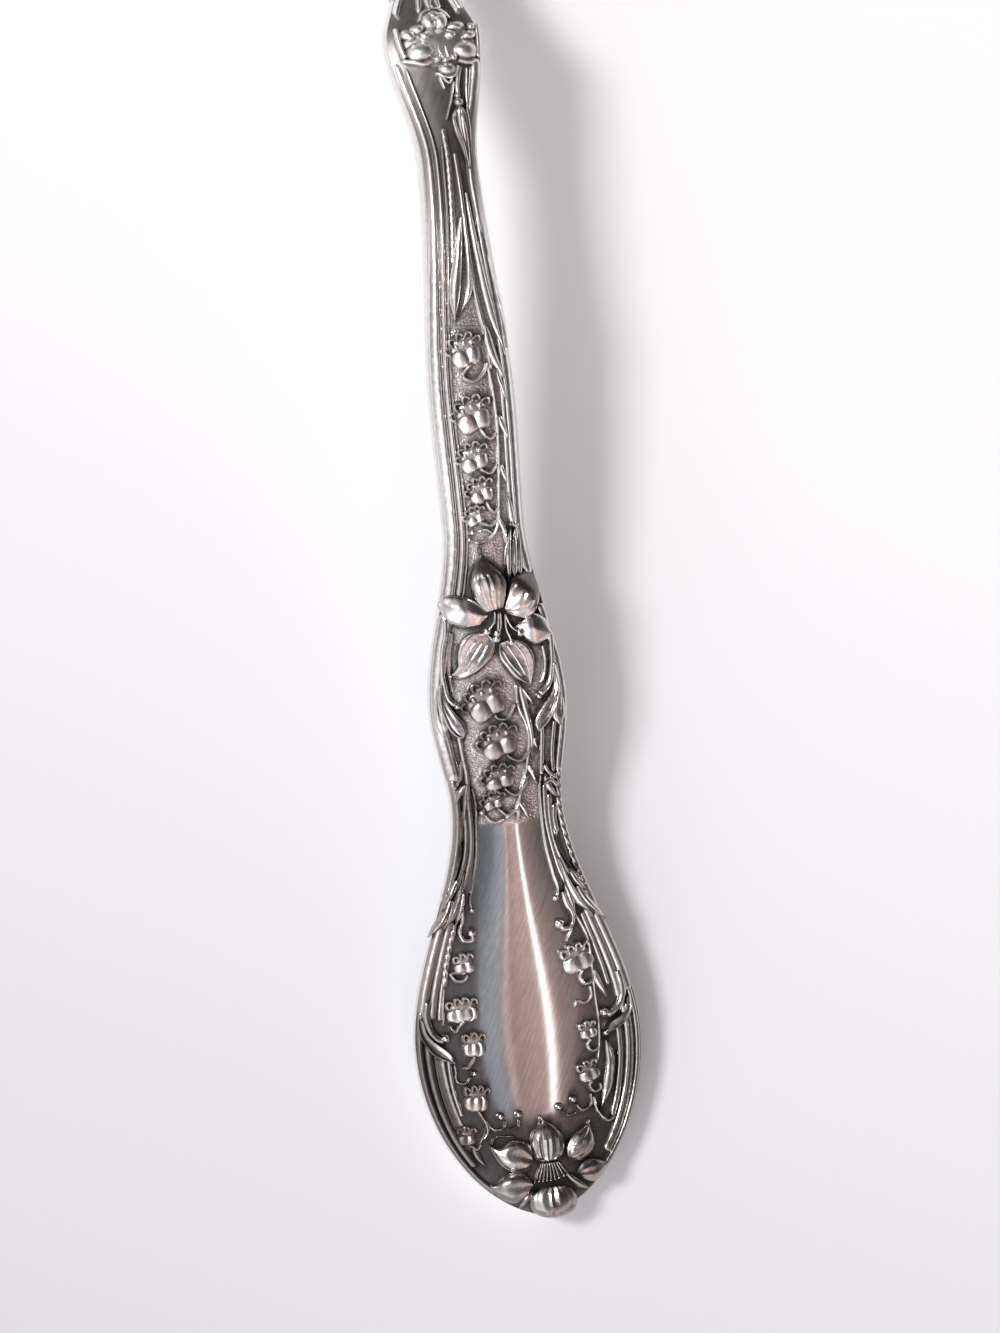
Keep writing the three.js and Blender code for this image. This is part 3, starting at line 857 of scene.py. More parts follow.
    def tip(self) -> Lily:
        """The lily that closes the handle's tip.

        Returns:
            The lily.
        """
        full = (0.75, 1.0, 0.45)
        petals = [
            petal([(6.4, 0.2), (7.0, -0.9), (8.6, -1.3), (10.1, -0.9), (11.0, 0.0), (11.5, 0.4)],
                  [(6.4, 0.9), (6.7, 2.1), (8.0, 2.8), (9.4, 2.7), (10.7, 1.8), (11.5, 0.4)],
                  1.5, Section.RIBBED, full, 0.2, 5),
            petal([(6.4, 3.0), (7.9, 2.9), (9.1, 3.7), (9.9, 5.0), (10.4, 6.0)],
                  [(6.3, 3.2), (6.2, 4.8), (7.2, 6.2), (8.6, 6.6), (10.4, 6.0)],
                  1.4, Section.RIBBED, full, 0.2, 3),
            petal([(4.5, 3.8), (5.7, 4.6), (6.2, 5.8), (5.9, 7.0), (5.4, 8.0)],
                  [(4.5, 4.0), (3.7, 4.8), (3.3, 6.1), (3.9, 7.1), (5.4, 8.0)],
                  1.4, Section.RIBBED, full, 0.2, 3),
            petal([(6.9, -1.4), (8.4, -1.3), (9.5, -2.4), (9.4, -3.7), (8.7, -5.1), (9.0, -6.2)],
                  [(6.8, -1.6), (5.8, -2.0), (5.6, -3.4), (6.4, -4.8), (7.8, -5.7), (9.0, -6.2)],
                  1.5, Section.RIBBED, full, 0.2, 2),
            petal([(3.9, -1.6), (5.1, -2.2), (5.5, -3.4), (5.2, -4.8), (4.4, -5.9), (4.2, -6.8)],
                  [(3.7, -1.8), (2.4, -2.5), (1.8, -3.9), (2.2, -5.0), (3.2, -6.1), (4.2, -6.8)],
                  1.4, Section.RIBBED, full, 0.2, 2),
            petal([(3.4, 0.3), (3.2, -1.2), (2.2, -2.2), (0.9, -2.0), (-0.1, -0.9), (-0.45, 0.8)],
                  [(3.3, 1.3), (3.2, 2.6), (2.0, 3.7), (0.5, 3.5), (-0.3, 2.3), (-0.45, 0.8)],
                  1.6, Section.RIBBED, (0.75, 1.0, 0.5), 0.1, 6),
        ]
        ends = (-1.3, -0.8, -0.3, 0.2, 0.7, 1.2, 1.7, 2.3, 2.9)
        stamens = [
            [(6.4, 0.4 + 0.45 * end), (5.3, 0.2 + 0.75 * end), (4.1 + 0.25 * max(0, end - 1), end)]
            for end in ends
        ]
        tongues = [
            *[tendril(edge, 0.15, 0.5, 0.15) for edge in (
                petals[3].other, [*petals[0].path[:-1], (12.0, 0.1)], petals[1].other, petals[4].path[1:],
            )],
            tendril([(7.8, 3.6), (8.4, 4.6), (9.3, 5.6), (10.2, 6.0)], 0.13, 0.35, 1.1),
            tendril([(11.3, 0.4), (12.0, 0.2)], 0.3, 0.8, 0.1),
            leaf([(4.8, 2.6), (3.5, 3.9), (2.5, 5.4)], 0.55, 0.9),
            leaf([(3.1, -1.7), (2.1, -2.7), (1.1, -3.4)], 0.5, 0.9),
            tendril([(9.0, -6.0), (9.9, -5.6), (10.0, -4.2), (9.8, -3.0)], 0.18, 0.6),
            tendril([(10.2, 5.8), (10.9, 6.3)], 0.25, 0.7),
        ]
        return Lily("tip_lily", petals, stamens, 0.05, 0.24, tongues)

    def all(self) -> list[Lily]:
        """The three lilies."""
        return [self.knuckle(), self.middle(), self.tip()]


class Sprays:
    """The bell flowers of the two sprays and the two garlands."""

    # The spray on the stem, from the largest bell down.
    UPPER = [
        Bell("upper_bell_1", 103.5, -0.4, 4.3, 3.9, 14, 2,
             [(100.4, -0.9), (99.8, 0.1), (100.7, 1.6), (101.9, 2.1)]),
        Bell("upper_bell_2", 95.9, -0.2, 4.6, 4.5, 16, 3, [(93.2, 1.0), (92.9, 1.8), (93.5, 2.4)]),
        Bell("upper_bell_3", 90.8, -0.6, 3.7, 3.7, 18, 2, [(89.3, 0.2), (88.8, 1.2), (89.8, 2.2)]),
        Bell("upper_bell_4", 86.8, -0.1, 3.3, 3.2, 20, 2, [(85.2, 0.5), (84.2, 1.4), (84.9, 2.0)]),
        Bell("upper_bell_5", 83.9, -1.0, 2.4, 2.5, 20, 2, [(82.9, 0.0), (82.6, 0.7), (83.2, 1.6)], 0.9),
    ]

    # The spray under the middle lily, from the largest bell down.
    LOWER = [
        Bell("lower_bell_1", 61.6, -1.8, 4.8, 5.0, 26, 2, [(59.5, -0.6), (59.2, 0.5), (60.9, 1.8)]),
        Bell("lower_bell_2", 56.6, -0.5, 4.3, 4.7, 16, 2, [(54.6, 0.6), (54.1, 1.7), (55.3, 3.3)]),
        Bell("lower_bell_3", 52.3, -0.9, 3.3, 3.9, 14, 2, [(50.6, 0.0), (50.1, 0.9), (51.4, 2.4)]),
        Bell("lower_bell_4", 49.6, -1.8, 2.3, 2.9, 10, 2, [(48.5, -1.2), (47.8, -0.2), (48.4, 0.7)], 0.9),
    ]

    # The bells down both sides of the plain shield.
    GARLANDS = [
        Bell("left_bell_1", 31.0, -7.2, 2.8, 2.8, 6, 2,
             [(29.9, -8.9), (29.1, -8.3), (29.0, -7.4), (29.7, -6.8)], 1.1),
        Bell("left_bell_2", 25.5, -7.9, 3.3, 4.3, 2, 4, [(23.6, -8.4), (23.0, -9.0), (23.9, -9.7)], 1.2),
        Bell("left_bell_3", 21.2, -6.9, 3.3, 3.1, -4, 3, [(19.0, -7.4), (18.5, -8.0), (18.7, -8.7)], 1.2),
        Bell("left_bell_4", 14.7, -7.2, 3.6, 3.3, -8, 3, [(12.8, -7.0), (12.2, -6.7), (11.0, -6.2)], 1.2),
        Bell("left_bell_5", 10.3, -8.9, 2.6, 2.5, -6, 2, [(9.0, -8.3), (8.6, -7.8), (9.3, -7.2)], 1.1),
        Bell("right_bell_1", 30.3, 6.5, 3.8, 4.2, 14, 2,
             [(27.9, 6.6), (27.1, 7.1), (27.4, 8.2), (28.7, 8.5)], 1.25),
        Bell("right_bell_2", 21.4, 7.0, 2.4, 2.3, 10, 2, [(19.5, 6.7), (18.9, 7.2), (19.3, 8.2)], 1.1),
        Bell("right_bell_3", 16.5, 6.6, 2.9, 2.9, 16, 2,
             [(14.8, 6.5), (14.0, 7.0), (14.3, 7.8), (15.1, 7.7)], 1.1),
    ]

    def all(self) -> list[Bell]:
        """Every bell."""
        sprays = [replace(bell, wreath=True) for bell in self.UPPER + self.LOWER]
        return sprays + self.GARLANDS


class Stalks:
    """The stalks, long leaves and beads between the flowers."""

    PIECES = {
        # The stalk of the upper spray, with the small buds at its end.
        "upper_stalk": [
            tendril([(101.9, 2.1), (97.8, 2.5), (94.3, 2.6), (87.9, 2.2), (84.6, 1.9), (82.9, 1.7),
                     (81.4, 0.9), (80.7, -0.3), (80.9, -1.4)], 0.26, 0.55),
            bead(82.0, -1.5, 0.42, 0.8),
            bead(81.2, -1.9, 0.34, 0.7),
            tendril([(81.6, 1.0), (82.2, 0.2), (82.0, -0.8)], 0.16, 0.5),
            leaf([(83.4, 1.8), (82.0, 2.4), (80.2, 2.4)], 0.35, 0.6),
        ],
        # The stalk of the lower spray, with its narrow leaves.
        "lower_stalk": [
            tendril([(63.2, 2.1), (60.9, 2.1), (57.6, 3.1), (53.8, 2.7), (50.4, 1.6), (48.3, 0.8),
                     (47.4, -0.6)], 0.26, 0.55),
            leaf([(63.2, 2.5), (60.5, 3.0), (57.0, 3.5), (53.9, 3.3)], 0.45, 0.65),
            leaf([(62.8, 2.7), (61.5, 3.5), (60.2, 4.2)], 0.3, 0.6),
            leaf([(57.2, 3.3), (56.0, 3.8), (55.1, 4.2)], 0.3, 0.5),
            leaf([(53.6, 2.6), (52.6, 3.1), (51.0, 3.7)], 0.3, 0.5),
            leaf([(50.6, 1.8), (51.4, 2.4), (52.2, 2.6)], 0.25, 0.5),
            leaf([(49.4, 1.2), (48.6, 1.7), (47.3, 2.2)], 0.35, 0.5),
            leaf([(48.9, 1.0), (48.0, 1.1), (46.9, 1.0)], 0.3, 0.5),
        ],
        # The twisted reed and the leaves that point at the first bell.
        "left_long_leaf": [
            Strap([(130.0, -0.5), (126.4, -0.3), (122.3, -0.4), (117.0, -0.7), (113.5, -1.0)],
                  0.4, 0.45, Section.ROPE),
            petal([(119.0, 0.2), (113.4, -1.3), (110.7, -1.9), (106.6, -1.6)],
                  [(119.2, 0.6), (114.3, 0.1), (109.6, -0.7), (106.6, -1.6)],
                  0.75, Section.LEAF, (0.5, 1.0, 0.8)),
            petal([(119.4, 0.6), (114.0, 0.4), (110.4, 0.0), (107.4, -1.1)],
                  [(119.5, 1.1), (114.2, 1.0), (110.4, 0.9), (107.4, -1.1)],
                  0.7, Section.LEAF, (0.5, 1.0, 0.8)),
            tendril([(128.0, -0.9), (120.6, -1.1), (114.4, -1.6), (109.0, -2.2)], 0.2, 0.45),
        ],
        # The bud under the knuckle and the blades that run down the right of the stem.
        "right_long_leaf": [
            tendril([(137.2, 2.6), (134.8, 1.9), (133.1, 1.8)], 0.32, 0.7),
            bead(133.6, 1.75, 0.42, 1.0),
            bead(132.8, 1.8, 0.64, 1.2),
            tendril([(131.2, 0.95), (130.6, 1.0), (127.5, 1.8), (124.8, 2.1)], 0.14, 0.5, 0.6),
            tendril([(131.6, 1.8), (130.9, 2.0), (128.0, 2.3), (125.0, 2.2)], 0.14, 0.5, 0.6),
            tendril([(132.1, 2.65), (130.5, 2.8), (128.5, 2.75), (126.5, 2.5)], 0.14, 0.5, 0.4),
            petal([(132.4, 1.6), (131.4, 0.8), (129.6, 0.8), (127.4, 1.4), (124.6, 2.1)],
                  [(132.4, 2.0), (131.4, 2.8), (129.6, 2.8), (127.4, 2.5), (124.6, 2.1)],
                  0.9, Section.RIBBED, (1.0, 1.0, 0.5), 0.1, 5),
            Strap([(137.0, 3.4), (133.5, 2.9), (128.0, 3.0), (123.0, 2.9)], 0.2, 0.45),
            leaf([(125.6, 2.3), (121.0, 2.6), (115.0, 3.0)], 0.55, 0.8),
            Strap([(127.0, 0.6), (122.6, 0.8), (116.3, 0.9), (110.0, 1.3), (104.4, 2.1), (101.0, 2.3)],
                  0.32, 0.6, rise=(0.6, 1.0, 0.9)),
            petal([(122.0, 1.2), (115.0, 1.5), (109.8, 2.1), (106.0, 2.9), (102.6, 4.2)],
                  [(122.0, 1.6), (115.5, 2.4), (110.2, 3.3), (106.2, 3.9), (102.6, 4.2)],
                  0.8, Section.LEAF, (0.5, 1.0, 0.9), 0.1),
            petal([(116.4, 2.7), (111.8, 3.4), (107.5, 4.0), (103.4, 4.5)],
                  [(116.4, 2.9), (111.8, 4.0), (107.5, 4.6), (103.4, 4.7)],
                  0.8, Section.LEAF, (0.6, 1.0, 0.9), 0.2),
            leaf([(106.4, 2.0), (103.0, 2.6), (99.2, 4.1)], 0.6, 0.8),
            leaf([(101.0, 2.9), (98.6, 3.5), (96.5, 4.1)], 0.35, 0.7),
            leaf([(95.6, 2.7), (94.0, 3.2), (92.4, 3.8)], 0.42, 0.7),
            leaf([(89.9, 2.4), (88.6, 2.7), (87.2, 3.2)], 0.35, 0.6),
        ],
        "lower_bud": [bead(48.4, -3.3, 0.45, 0.9), tendril([(48.2, -3.1), (47.2, -2.2), (47.3, -0.6)])],
        "left_tip_bead_1": [bead(12.2, -2.3, 0.56, 1.0),
                            tendril([(11.7, -2.3), (10.9, -2.4), (10.5, -3.7)])],
        "left_tip_bead_2": [
            bead(12.2, -4.5, 0.56, 1.0),
            tendril([(11.7, -3.9), (10.9, -4.1), (10.6, -5.2), (12.2, -6.6)]),
            leaf([(12.4, -6.6), (10.6, -6.2), (9.2, -7.3)], 0.35, 0.7),
        ],
        "right_tip_bead_1": [bead(12.5, 2.7, 0.55, 1.0),
                             tendril([(12.0, 2.9), (11.3, 3.8), (11.6, 4.9)])],
        "right_tip_bead_2": [
            bead(13.2, 4.5, 0.55, 1.0),
            tendril([(12.6, 4.7), (11.8, 5.5), (12.3, 6.6), (13.8, 6.7)]),
        ],
        "left_shoulder_bead": scroll(
            [(38.4, -6.8), (36.2, -6.8), (34.8, -7.3), (33.7, -6.8), (33.8, -5.8), (34.6, -5.9)],
            0.32, 0.6, 0.85),
        "right_shoulder_bead": scroll(
            [(38.4, 5.5), (36.7, 6.0), (35.2, 6.6), (34.1, 6.3), (33.8, 5.4), (34.5, 4.9)],
            0.34, 0.64, 0.9),
    }


@dataclass(frozen=True)
class Borders:
    """The reeds and leaves along one edge of the handle's face."""

    form: ForkForm
    side: Side
    place_step: float = 2.0

    def reed(self, start: float, end: float, first: float, last: float, half: float = 0.4,
             high: float = 0.6, section: Section = Section.ROUND, narrow: float = 1.0) -> Strap:
        """A reed that follows an edge of the face.

        Args:
            start: The station where the reed starts.
            end: The station where it ends.
            first: How far in from the edge it starts.
            last: How far in it ends.
            half: Half its width.
            high: Its height.
            section: Its shape across.
            narrow: The share of its width that is left at its end.

        Returns:
            The reed.
        """
        count = max(3, int(abs(end - start) / self.place_step))
        s = np.linspace(start, end, count)
        u = self.side.value * (self.form.face_half(s) - np.linspace(first, last, count))
        return Strap(list(zip(s, u)), half, high, section, narrow=narrow)

    def pieces(self) -> dict[str, list[Strap]]:
        """Each node's straps."""
        parts = self.stem() | self.swell() | self.waist() | self.shoulder() | self.belly() | self.low()
        return {f"{self.side.name.lower()}_{name}": straps for name, straps in parts.items()}

    def stem(self) -> dict[str, list[Strap]]:
        """The reeds along the stem, from the middle lily to the knuckle.

        Returns:
            Each node's straps.
        """
        if self.side is Side.LEFT:
            return {"stem_reeds": [
                self.reed(73.6, 138.2, 0.6, 0.4, 0.8, 0.6, narrow=0.5),
                self.reed(73.8, 137.6, 1.76, 1.3, 0.34, 0.6, narrow=0.7),
                self.reed(74.4, 112.0, 2.36, 2.0, 0.2, 0.4),
            ]}
        return {"stem_reeds": [
            self.reed(76.2, 138.0, 0.62, 0.45, 0.66, 0.75),
            self.reed(84.4, 101.5, 1.5, 1.4, 0.28, 0.6),
            self.reed(118.0, 137.0, 1.05, 1.1, 0.24, 0.4),
            *self.bundle(),
        ]}

    def bundle(self) -> list[Strap]:
        """The bundle of stems that stands on the middle lily's right.

        Returns:
            The straps.
        """
        return [
            leaf([(75.8, 2.1), (79.4, 2.4), (82.6, 3.0)], 0.5, 1.0),
            leaf([(75.8, 2.9), (79.4, 3.2), (82.6, 3.5)], 0.45, 1.05),
            leaf([(75.8, 3.6), (79.3, 3.8), (82.4, 4.0)], 0.4, 1.0),
            leaf([(82.2, 3.3), (84.0, 3.2), (86.4, 2.9)], 0.5, 0.8),
            tendril([(82.7, 2.6), (82.4, 3.4), (82.7, 4.1)], 0.22, 0.9, 0.2),
        ]

    def swell(self) -> dict[str, list[Strap]]:
        """The scrolls and the lobed leaf beside the middle lily, and the reeds under them.

        Returns:
            Each node's straps.
        """
        if self.side is Side.LEFT:
            rib = [(64.4, -7.2), (62.0, -7.2), (60.2, -6.8), (59.0, -6.3), (58.2, -5.6), (57.9, -4.9)]
            inner = [(64.4, -6.8), (62.2, -6.3), (60.8, -5.4), (59.8, -4.7), (58.7, -4.4), (57.9, -4.9)]
            outer = [(64.2, -7.6), (61.8, -8.0), (60.2, -8.0), (59.1, -7.7), (58.3, -7.2)]
            notch = [(63.8, -7.2), (61.8, -7.0), (60.2, -6.7), (59.2, -6.5), (58.3, -7.2)]
            long = [(72.4, -5.8), (70.8, -5.9), (68.3, -6.5), (64.5, -6.6), (62.5, -6.1), (61.7, -5.3)]
            thin = [(70.6, -5.0), (68.2, -5.6), (65.2, -5.8), (63.3, -5.6)]
            under = [[(58.6, -5.4), (55.9, -5.1), (53.4, -4.8), (50.3, -4.9)],
                     [(58.9, -6.9), (55.6, -6.3), (53.0, -6.1)]]
        else:
            rib = [(65.6, 6.9), (62.7, 7.2), (60.4, 6.5), (59.0, 5.6), (57.7, 4.2)]
            inner = [(65.6, 6.8), (62.4, 6.3), (60.6, 4.8), (59.6, 4.1), (58.6, 3.8), (57.7, 4.2)]
            outer = [(63.2, 7.3), (61.0, 7.8), (59.2, 7.7), (58.1, 7.0)]
            notch = [(62.8, 7.1), (60.8, 6.7), (59.3, 6.1), (58.1, 7.0)]
            long = [(69.6, 6.8), (68.1, 6.8), (65.7, 6.7), (63.0, 5.9), (61.9, 4.7)]
            thin = [(68.0, 5.6), (66.0, 5.8), (64.2, 5.4), (63.4, 4.9)]
            under = [[(58.6, 4.8), (55.3, 4.5), (52.4, 4.2)], [(58.9, 6.4), (55.2, 5.8), (52.6, 5.7)]]
        lobes = [
            petal(rib, inner, 1.1, Section.RIBBED, (0.5, 1.0, 0.9), 0.1, 2, 0.35),
            petal(outer, notch, 1.0, Section.RIBBED, (0.7, 1.0, 0.9), 0.1, 2, 0.35),
            tendril(rib, 0.16, 0.5, 0.8),
            *scroll(long, 0.45, 0.52, 0.85),
            tendril(thin, 0.28, 0.65),
        ]
        broad = 0.9 if self.side is Side.LEFT else 0.56
        reeds = [
            self.reed(52.6, 73.0, 0.8 * broad, 0.8 * broad, broad, 0.7),
            tendril(under[0], 0.38, 0.75),
            tendril(under[1], 0.36, 0.65),
        ]
        return {"swell_leaf": lobes, "swell_reeds": reeds}

    def waist(self) -> dict[str, list[Strap]]:
        """The curled leaf at the waist and the ridges that run down to the shoulder.

        Returns:
            Each node's straps.
        """
        if self.side is Side.LEFT:
            curl = [
                *scroll([(55.4, -5.2), (54.4, -5.4), (53.0, -5.6), (52.1, -6.3)], 0.28, 0.38),
                leaf([(52.4, -4.8), (51.6, -5.7), (50.0, -6.4)], 0.5, 0.9),
                leaf([(53.0, -4.7), (50.6, -5.2), (48.0, -5.6)], 0.4, 0.8),
            ]
            rim = [(52.0, -4.3), (50.7, -4.1), (47.1, -4.2), (43.6, -4.5), (40.1, -5.3), (38.3, -5.7),
                   (37.3, -5.6)]
            ridges = [
                [(51.0, -4.9), (47.2, -4.8), (44.0, -5.1), (40.6, -6.2), (38.6, -7.2)],
                [(49.5, -5.5), (47.0, -5.4), (44.4, -5.7), (41.0, -6.8), (38.6, -8.2)],
                [(48.8, -6.0), (46.6, -6.1), (44.9, -6.4)],
            ]
            slot = [(46.0, -6.3), (45.2, -6.2), (42.0, -7.0), (40.4, -7.8), (39.4, -8.4)]
        else:
            curl = [
                tendril([(53.8, 4.6), (52.6, 5.2), (51.9, 6.2)], 0.34, 0.9, 0.1),
                tendril([(51.2, 4.3), (51.8, 5.2), (50.8, 6.2)], 0.32, 0.9, 0.2),
                leaf([(52.6, 4.6), (51.0, 5.1), (49.3, 6.2)], 0.5, 0.9),
                bead(52.0, 5.4, 0.45, 1.1),
            ]
            rim = [(52.6, 4.1), (51.4, 3.9), (48.2, 3.8), (44.0, 4.0), (40.6, 4.6), (38.2, 5.0), (37.6, 4.7)]
            ridges = [
                [(51.4, 4.5), (47.2, 4.4), (43.6, 4.9), (40.4, 5.7), (38.4, 6.6)],
                [(50.2, 5.0), (47.2, 4.9), (44.4, 5.2), (41.4, 6.2), (39.2, 7.2)],
                [(49.0, 5.6), (47.2, 5.4), (45.4, 5.6)],
            ]
            slot = [(46.0, 5.6), (45.0, 5.4), (42.6, 6.1), (40.7, 7.2), (39.7, 7.9)]
        reeds = [
            self.reed(38.6, 53.2, 0.4, 0.4, 0.5, 0.7,
                      Section.ROPE if self.side is Side.RIGHT else Section.ROUND),
            *scroll(rim, 0.22, 0.4, 0.65),
            *[tendril(ridge, 0.4, 0.6) for ridge in ridges],
            *scroll(slot, 0.24, 0.42, 0.75),
        ]
        return {"waist_leaf": curl, "waist_reeds": reeds}

    def shoulder(self) -> dict[str, list[Strap]]:
        """The three-pointed leaf at the shoulder.

        Returns:
            Each node's straps.
        """
        if self.side is Side.LEFT:
            return {"shoulder_leaf": [
                petal([(42.0, -6.2), (39.8, -7.2), (37.4, -8.4), (34.8, -9.8)],
                      [(42.0, -6.0), (39.0, -6.5), (36.8, -7.4), (34.8, -9.8)],
                      1.1, Section.LEAF, (0.6, 1.0, 0.9)),
                leaf([(41.2, -7.0), (39.4, -8.0), (37.6, -9.3)], 0.5, 1.0, 0.2),
                petal([(38.8, -8.5), (37.2, -9.4), (35.8, -10.4), (34.6, -11.1)],
                      [(38.6, -7.5), (37.0, -8.1), (35.6, -9.3), (34.6, -11.1)],
                      1.0, Section.LEAF, (0.6, 1.0, 0.8)),
                leaf([(39.6, -6.4), (37.4, -7.0), (35.3, -7.9)], 0.45, 1.0, 0.2),
            ]}
        return {"shoulder_leaf": [
            petal([(42.2, 5.6), (39.8, 6.6), (37.2, 8.0), (34.9, 9.2)],
                  [(42.2, 5.4), (39.2, 5.9), (36.8, 6.9), (34.9, 9.2)], 1.1, Section.LEAF, (0.6, 1.0, 0.9)),
            leaf([(41.0, 6.6), (39.4, 7.4), (37.8, 8.8)], 0.5, 1.0, 0.2),
            petal([(38.8, 8.0), (37.0, 9.1), (35.6, 10.1), (34.4, 10.7)],
                  [(38.6, 7.1), (36.8, 7.8), (35.4, 9.0), (34.4, 10.7)], 1.0, Section.LEAF, (0.6, 1.0, 0.8)),
            leaf([(39.4, 5.9), (37.2, 6.5), (35.0, 7.0)], 0.45, 1.0, 0.2),
        ]}

    def belly(self) -> dict[str, list[Strap]]:
        """The reeds from the shoulder to the widest place, and the curled leaf there.

        Returns:
            Each node's straps.
        """
        reeds = [
            self.reed(25.4, 39.0, 0.6, 0.5, 0.64, 0.7),
            self.reed(24.6, 36.4, 1.8, 1.5, 0.52, 0.65),
        ]
        if self.side is Side.LEFT:
            reeds += [
                self.reed(24.4, 36.0, 2.7, 2.2, 0.34, 0.55),
                Strap([(35.4, -7.9), (33.2, -8.6), (30.8, -9.3), (28.4, -9.7)], 0.42, 0.8, Section.ROPE),
                tendril([(28.4, -9.7), (26.0, -10.1), (23.8, -10.2)], 0.22, 0.5),
            ]
            curls = [
                *scroll([(27.2, -11.8), (25.4, -12.2), (23.8, -12.0), (22.7, -11.5), (22.1, -10.8),
                         (22.3, -10.2)],
                        0.58, 0.66, 1.0),
                petal([(25.0, -13.2), (23.0, -13.2), (21.6, -12.6), (20.6, -12.0), (19.7, -10.7),
                       (19.0, -9.2)],
                      [(24.6, -12.6), (22.9, -12.2), (22.0, -11.5), (21.4, -10.8), (20.5, -9.9),
                       (19.0, -9.2)],
                      1.15, Section.CUP, (0.6, 1.0, 0.9)),
            ]
        else:
            reeds += [
                self.reed(26.4, 35.6, 2.75, 2.3, 0.32, 0.5),
                tendril([(35.4, 6.9), (33.0, 8.0), (28.9, 8.4), (26.6, 8.4), (22.2, 8.6), (19.5, 8.4),
                         (17.4, 8.0)], 0.2, 0.5),
                leaf([(28.6, 8.4), (27.2, 8.9), (25.0, 9.9)], 0.45, 0.7),
                tendril([(26.7, 7.9), (25.2, 7.9), (24.6, 7.1), (24.9, 6.2), (24.2, 5.8)], 0.2, 0.6),
                leaf([(33.8, 6.4), (33.0, 6.0), (32.2, 5.5)], 0.3, 0.6),
            ]
            curls = [
                *scroll([(28.2, 11.4), (26.6, 11.8), (25.1, 11.8), (23.7, 11.1), (23.0, 10.0), (23.2, 9.4)],
                        0.56, 0.66, 1.0),
                petal([(25.0, 12.9), (23.2, 12.8), (21.8, 11.9), (21.0, 10.4), (20.5, 9.1)],
                      [(24.6, 12.3), (23.3, 12.0), (22.5, 11.1), (22.0, 10.1), (20.5, 9.1)],
                      1.15, Section.CUP, (0.6, 1.0, 0.9)),
                bead(20.7, 9.3, 0.46, 1.1),
            ]
        return {"belly_reeds": reeds, "side_leaf": curls}

    def low(self) -> dict[str, list[Strap]]:
        """The reeds from the widest place round to the tip.

        Returns:
            Each node's straps.
        """
        reeds = [self.reed(3.0, 26.0, 0.36, 0.42, 0.36, 0.5)]
        if self.side is Side.LEFT:
            reeds += [
                self.reed(6.4, 24.2, 1.25, 1.4, 0.52, 0.6),
                self.reed(8.6, 20.6, 2.35, 2.55, 0.58, 0.35, Section.CUP),
                self.reed(12.6, 20.0, 3.3, 3.6, 0.32, 0.5),
                tendril([(19.2, -9.4), (18.3, -9.3), (16.9, -9.2), (16.6, -8.2), (17.4, -7.5)], 0.2, 0.6),
                bead(17.7, -7.1, 0.46, 0.9),
                leaf([(8.9, -8.2), (7.4, -7.6), (6.4, -6.9)], 0.4, 0.7),
            ]
        else:
            reeds += [
                self.reed(6.4, 24.2, 1.35, 1.5, 0.6, 0.6),
                self.reed(10.6, 21.4, 2.45, 2.7, 0.42, 0.6),
                petal([(19.8, 9.0), (17.4, 8.9), (14.4, 8.2), (11.4, 7.6)],
                      [(19.8, 9.4), (17.2, 9.9), (14.0, 9.4), (11.4, 7.6)],
                      0.8, Section.LEAF, (0.8, 1.0, 0.8)),
                leaf([(19.6, 9.5), (17.6, 9.8), (15.6, 9.8)], 0.36, 0.8, 0.2),
                tendril([(13.4, 7.0), (11.2, 7.5), (10.2, 8.6), (10.7, 9.6)], 0.28, 0.75),
            ]
        return {"tip_reeds": reeds}


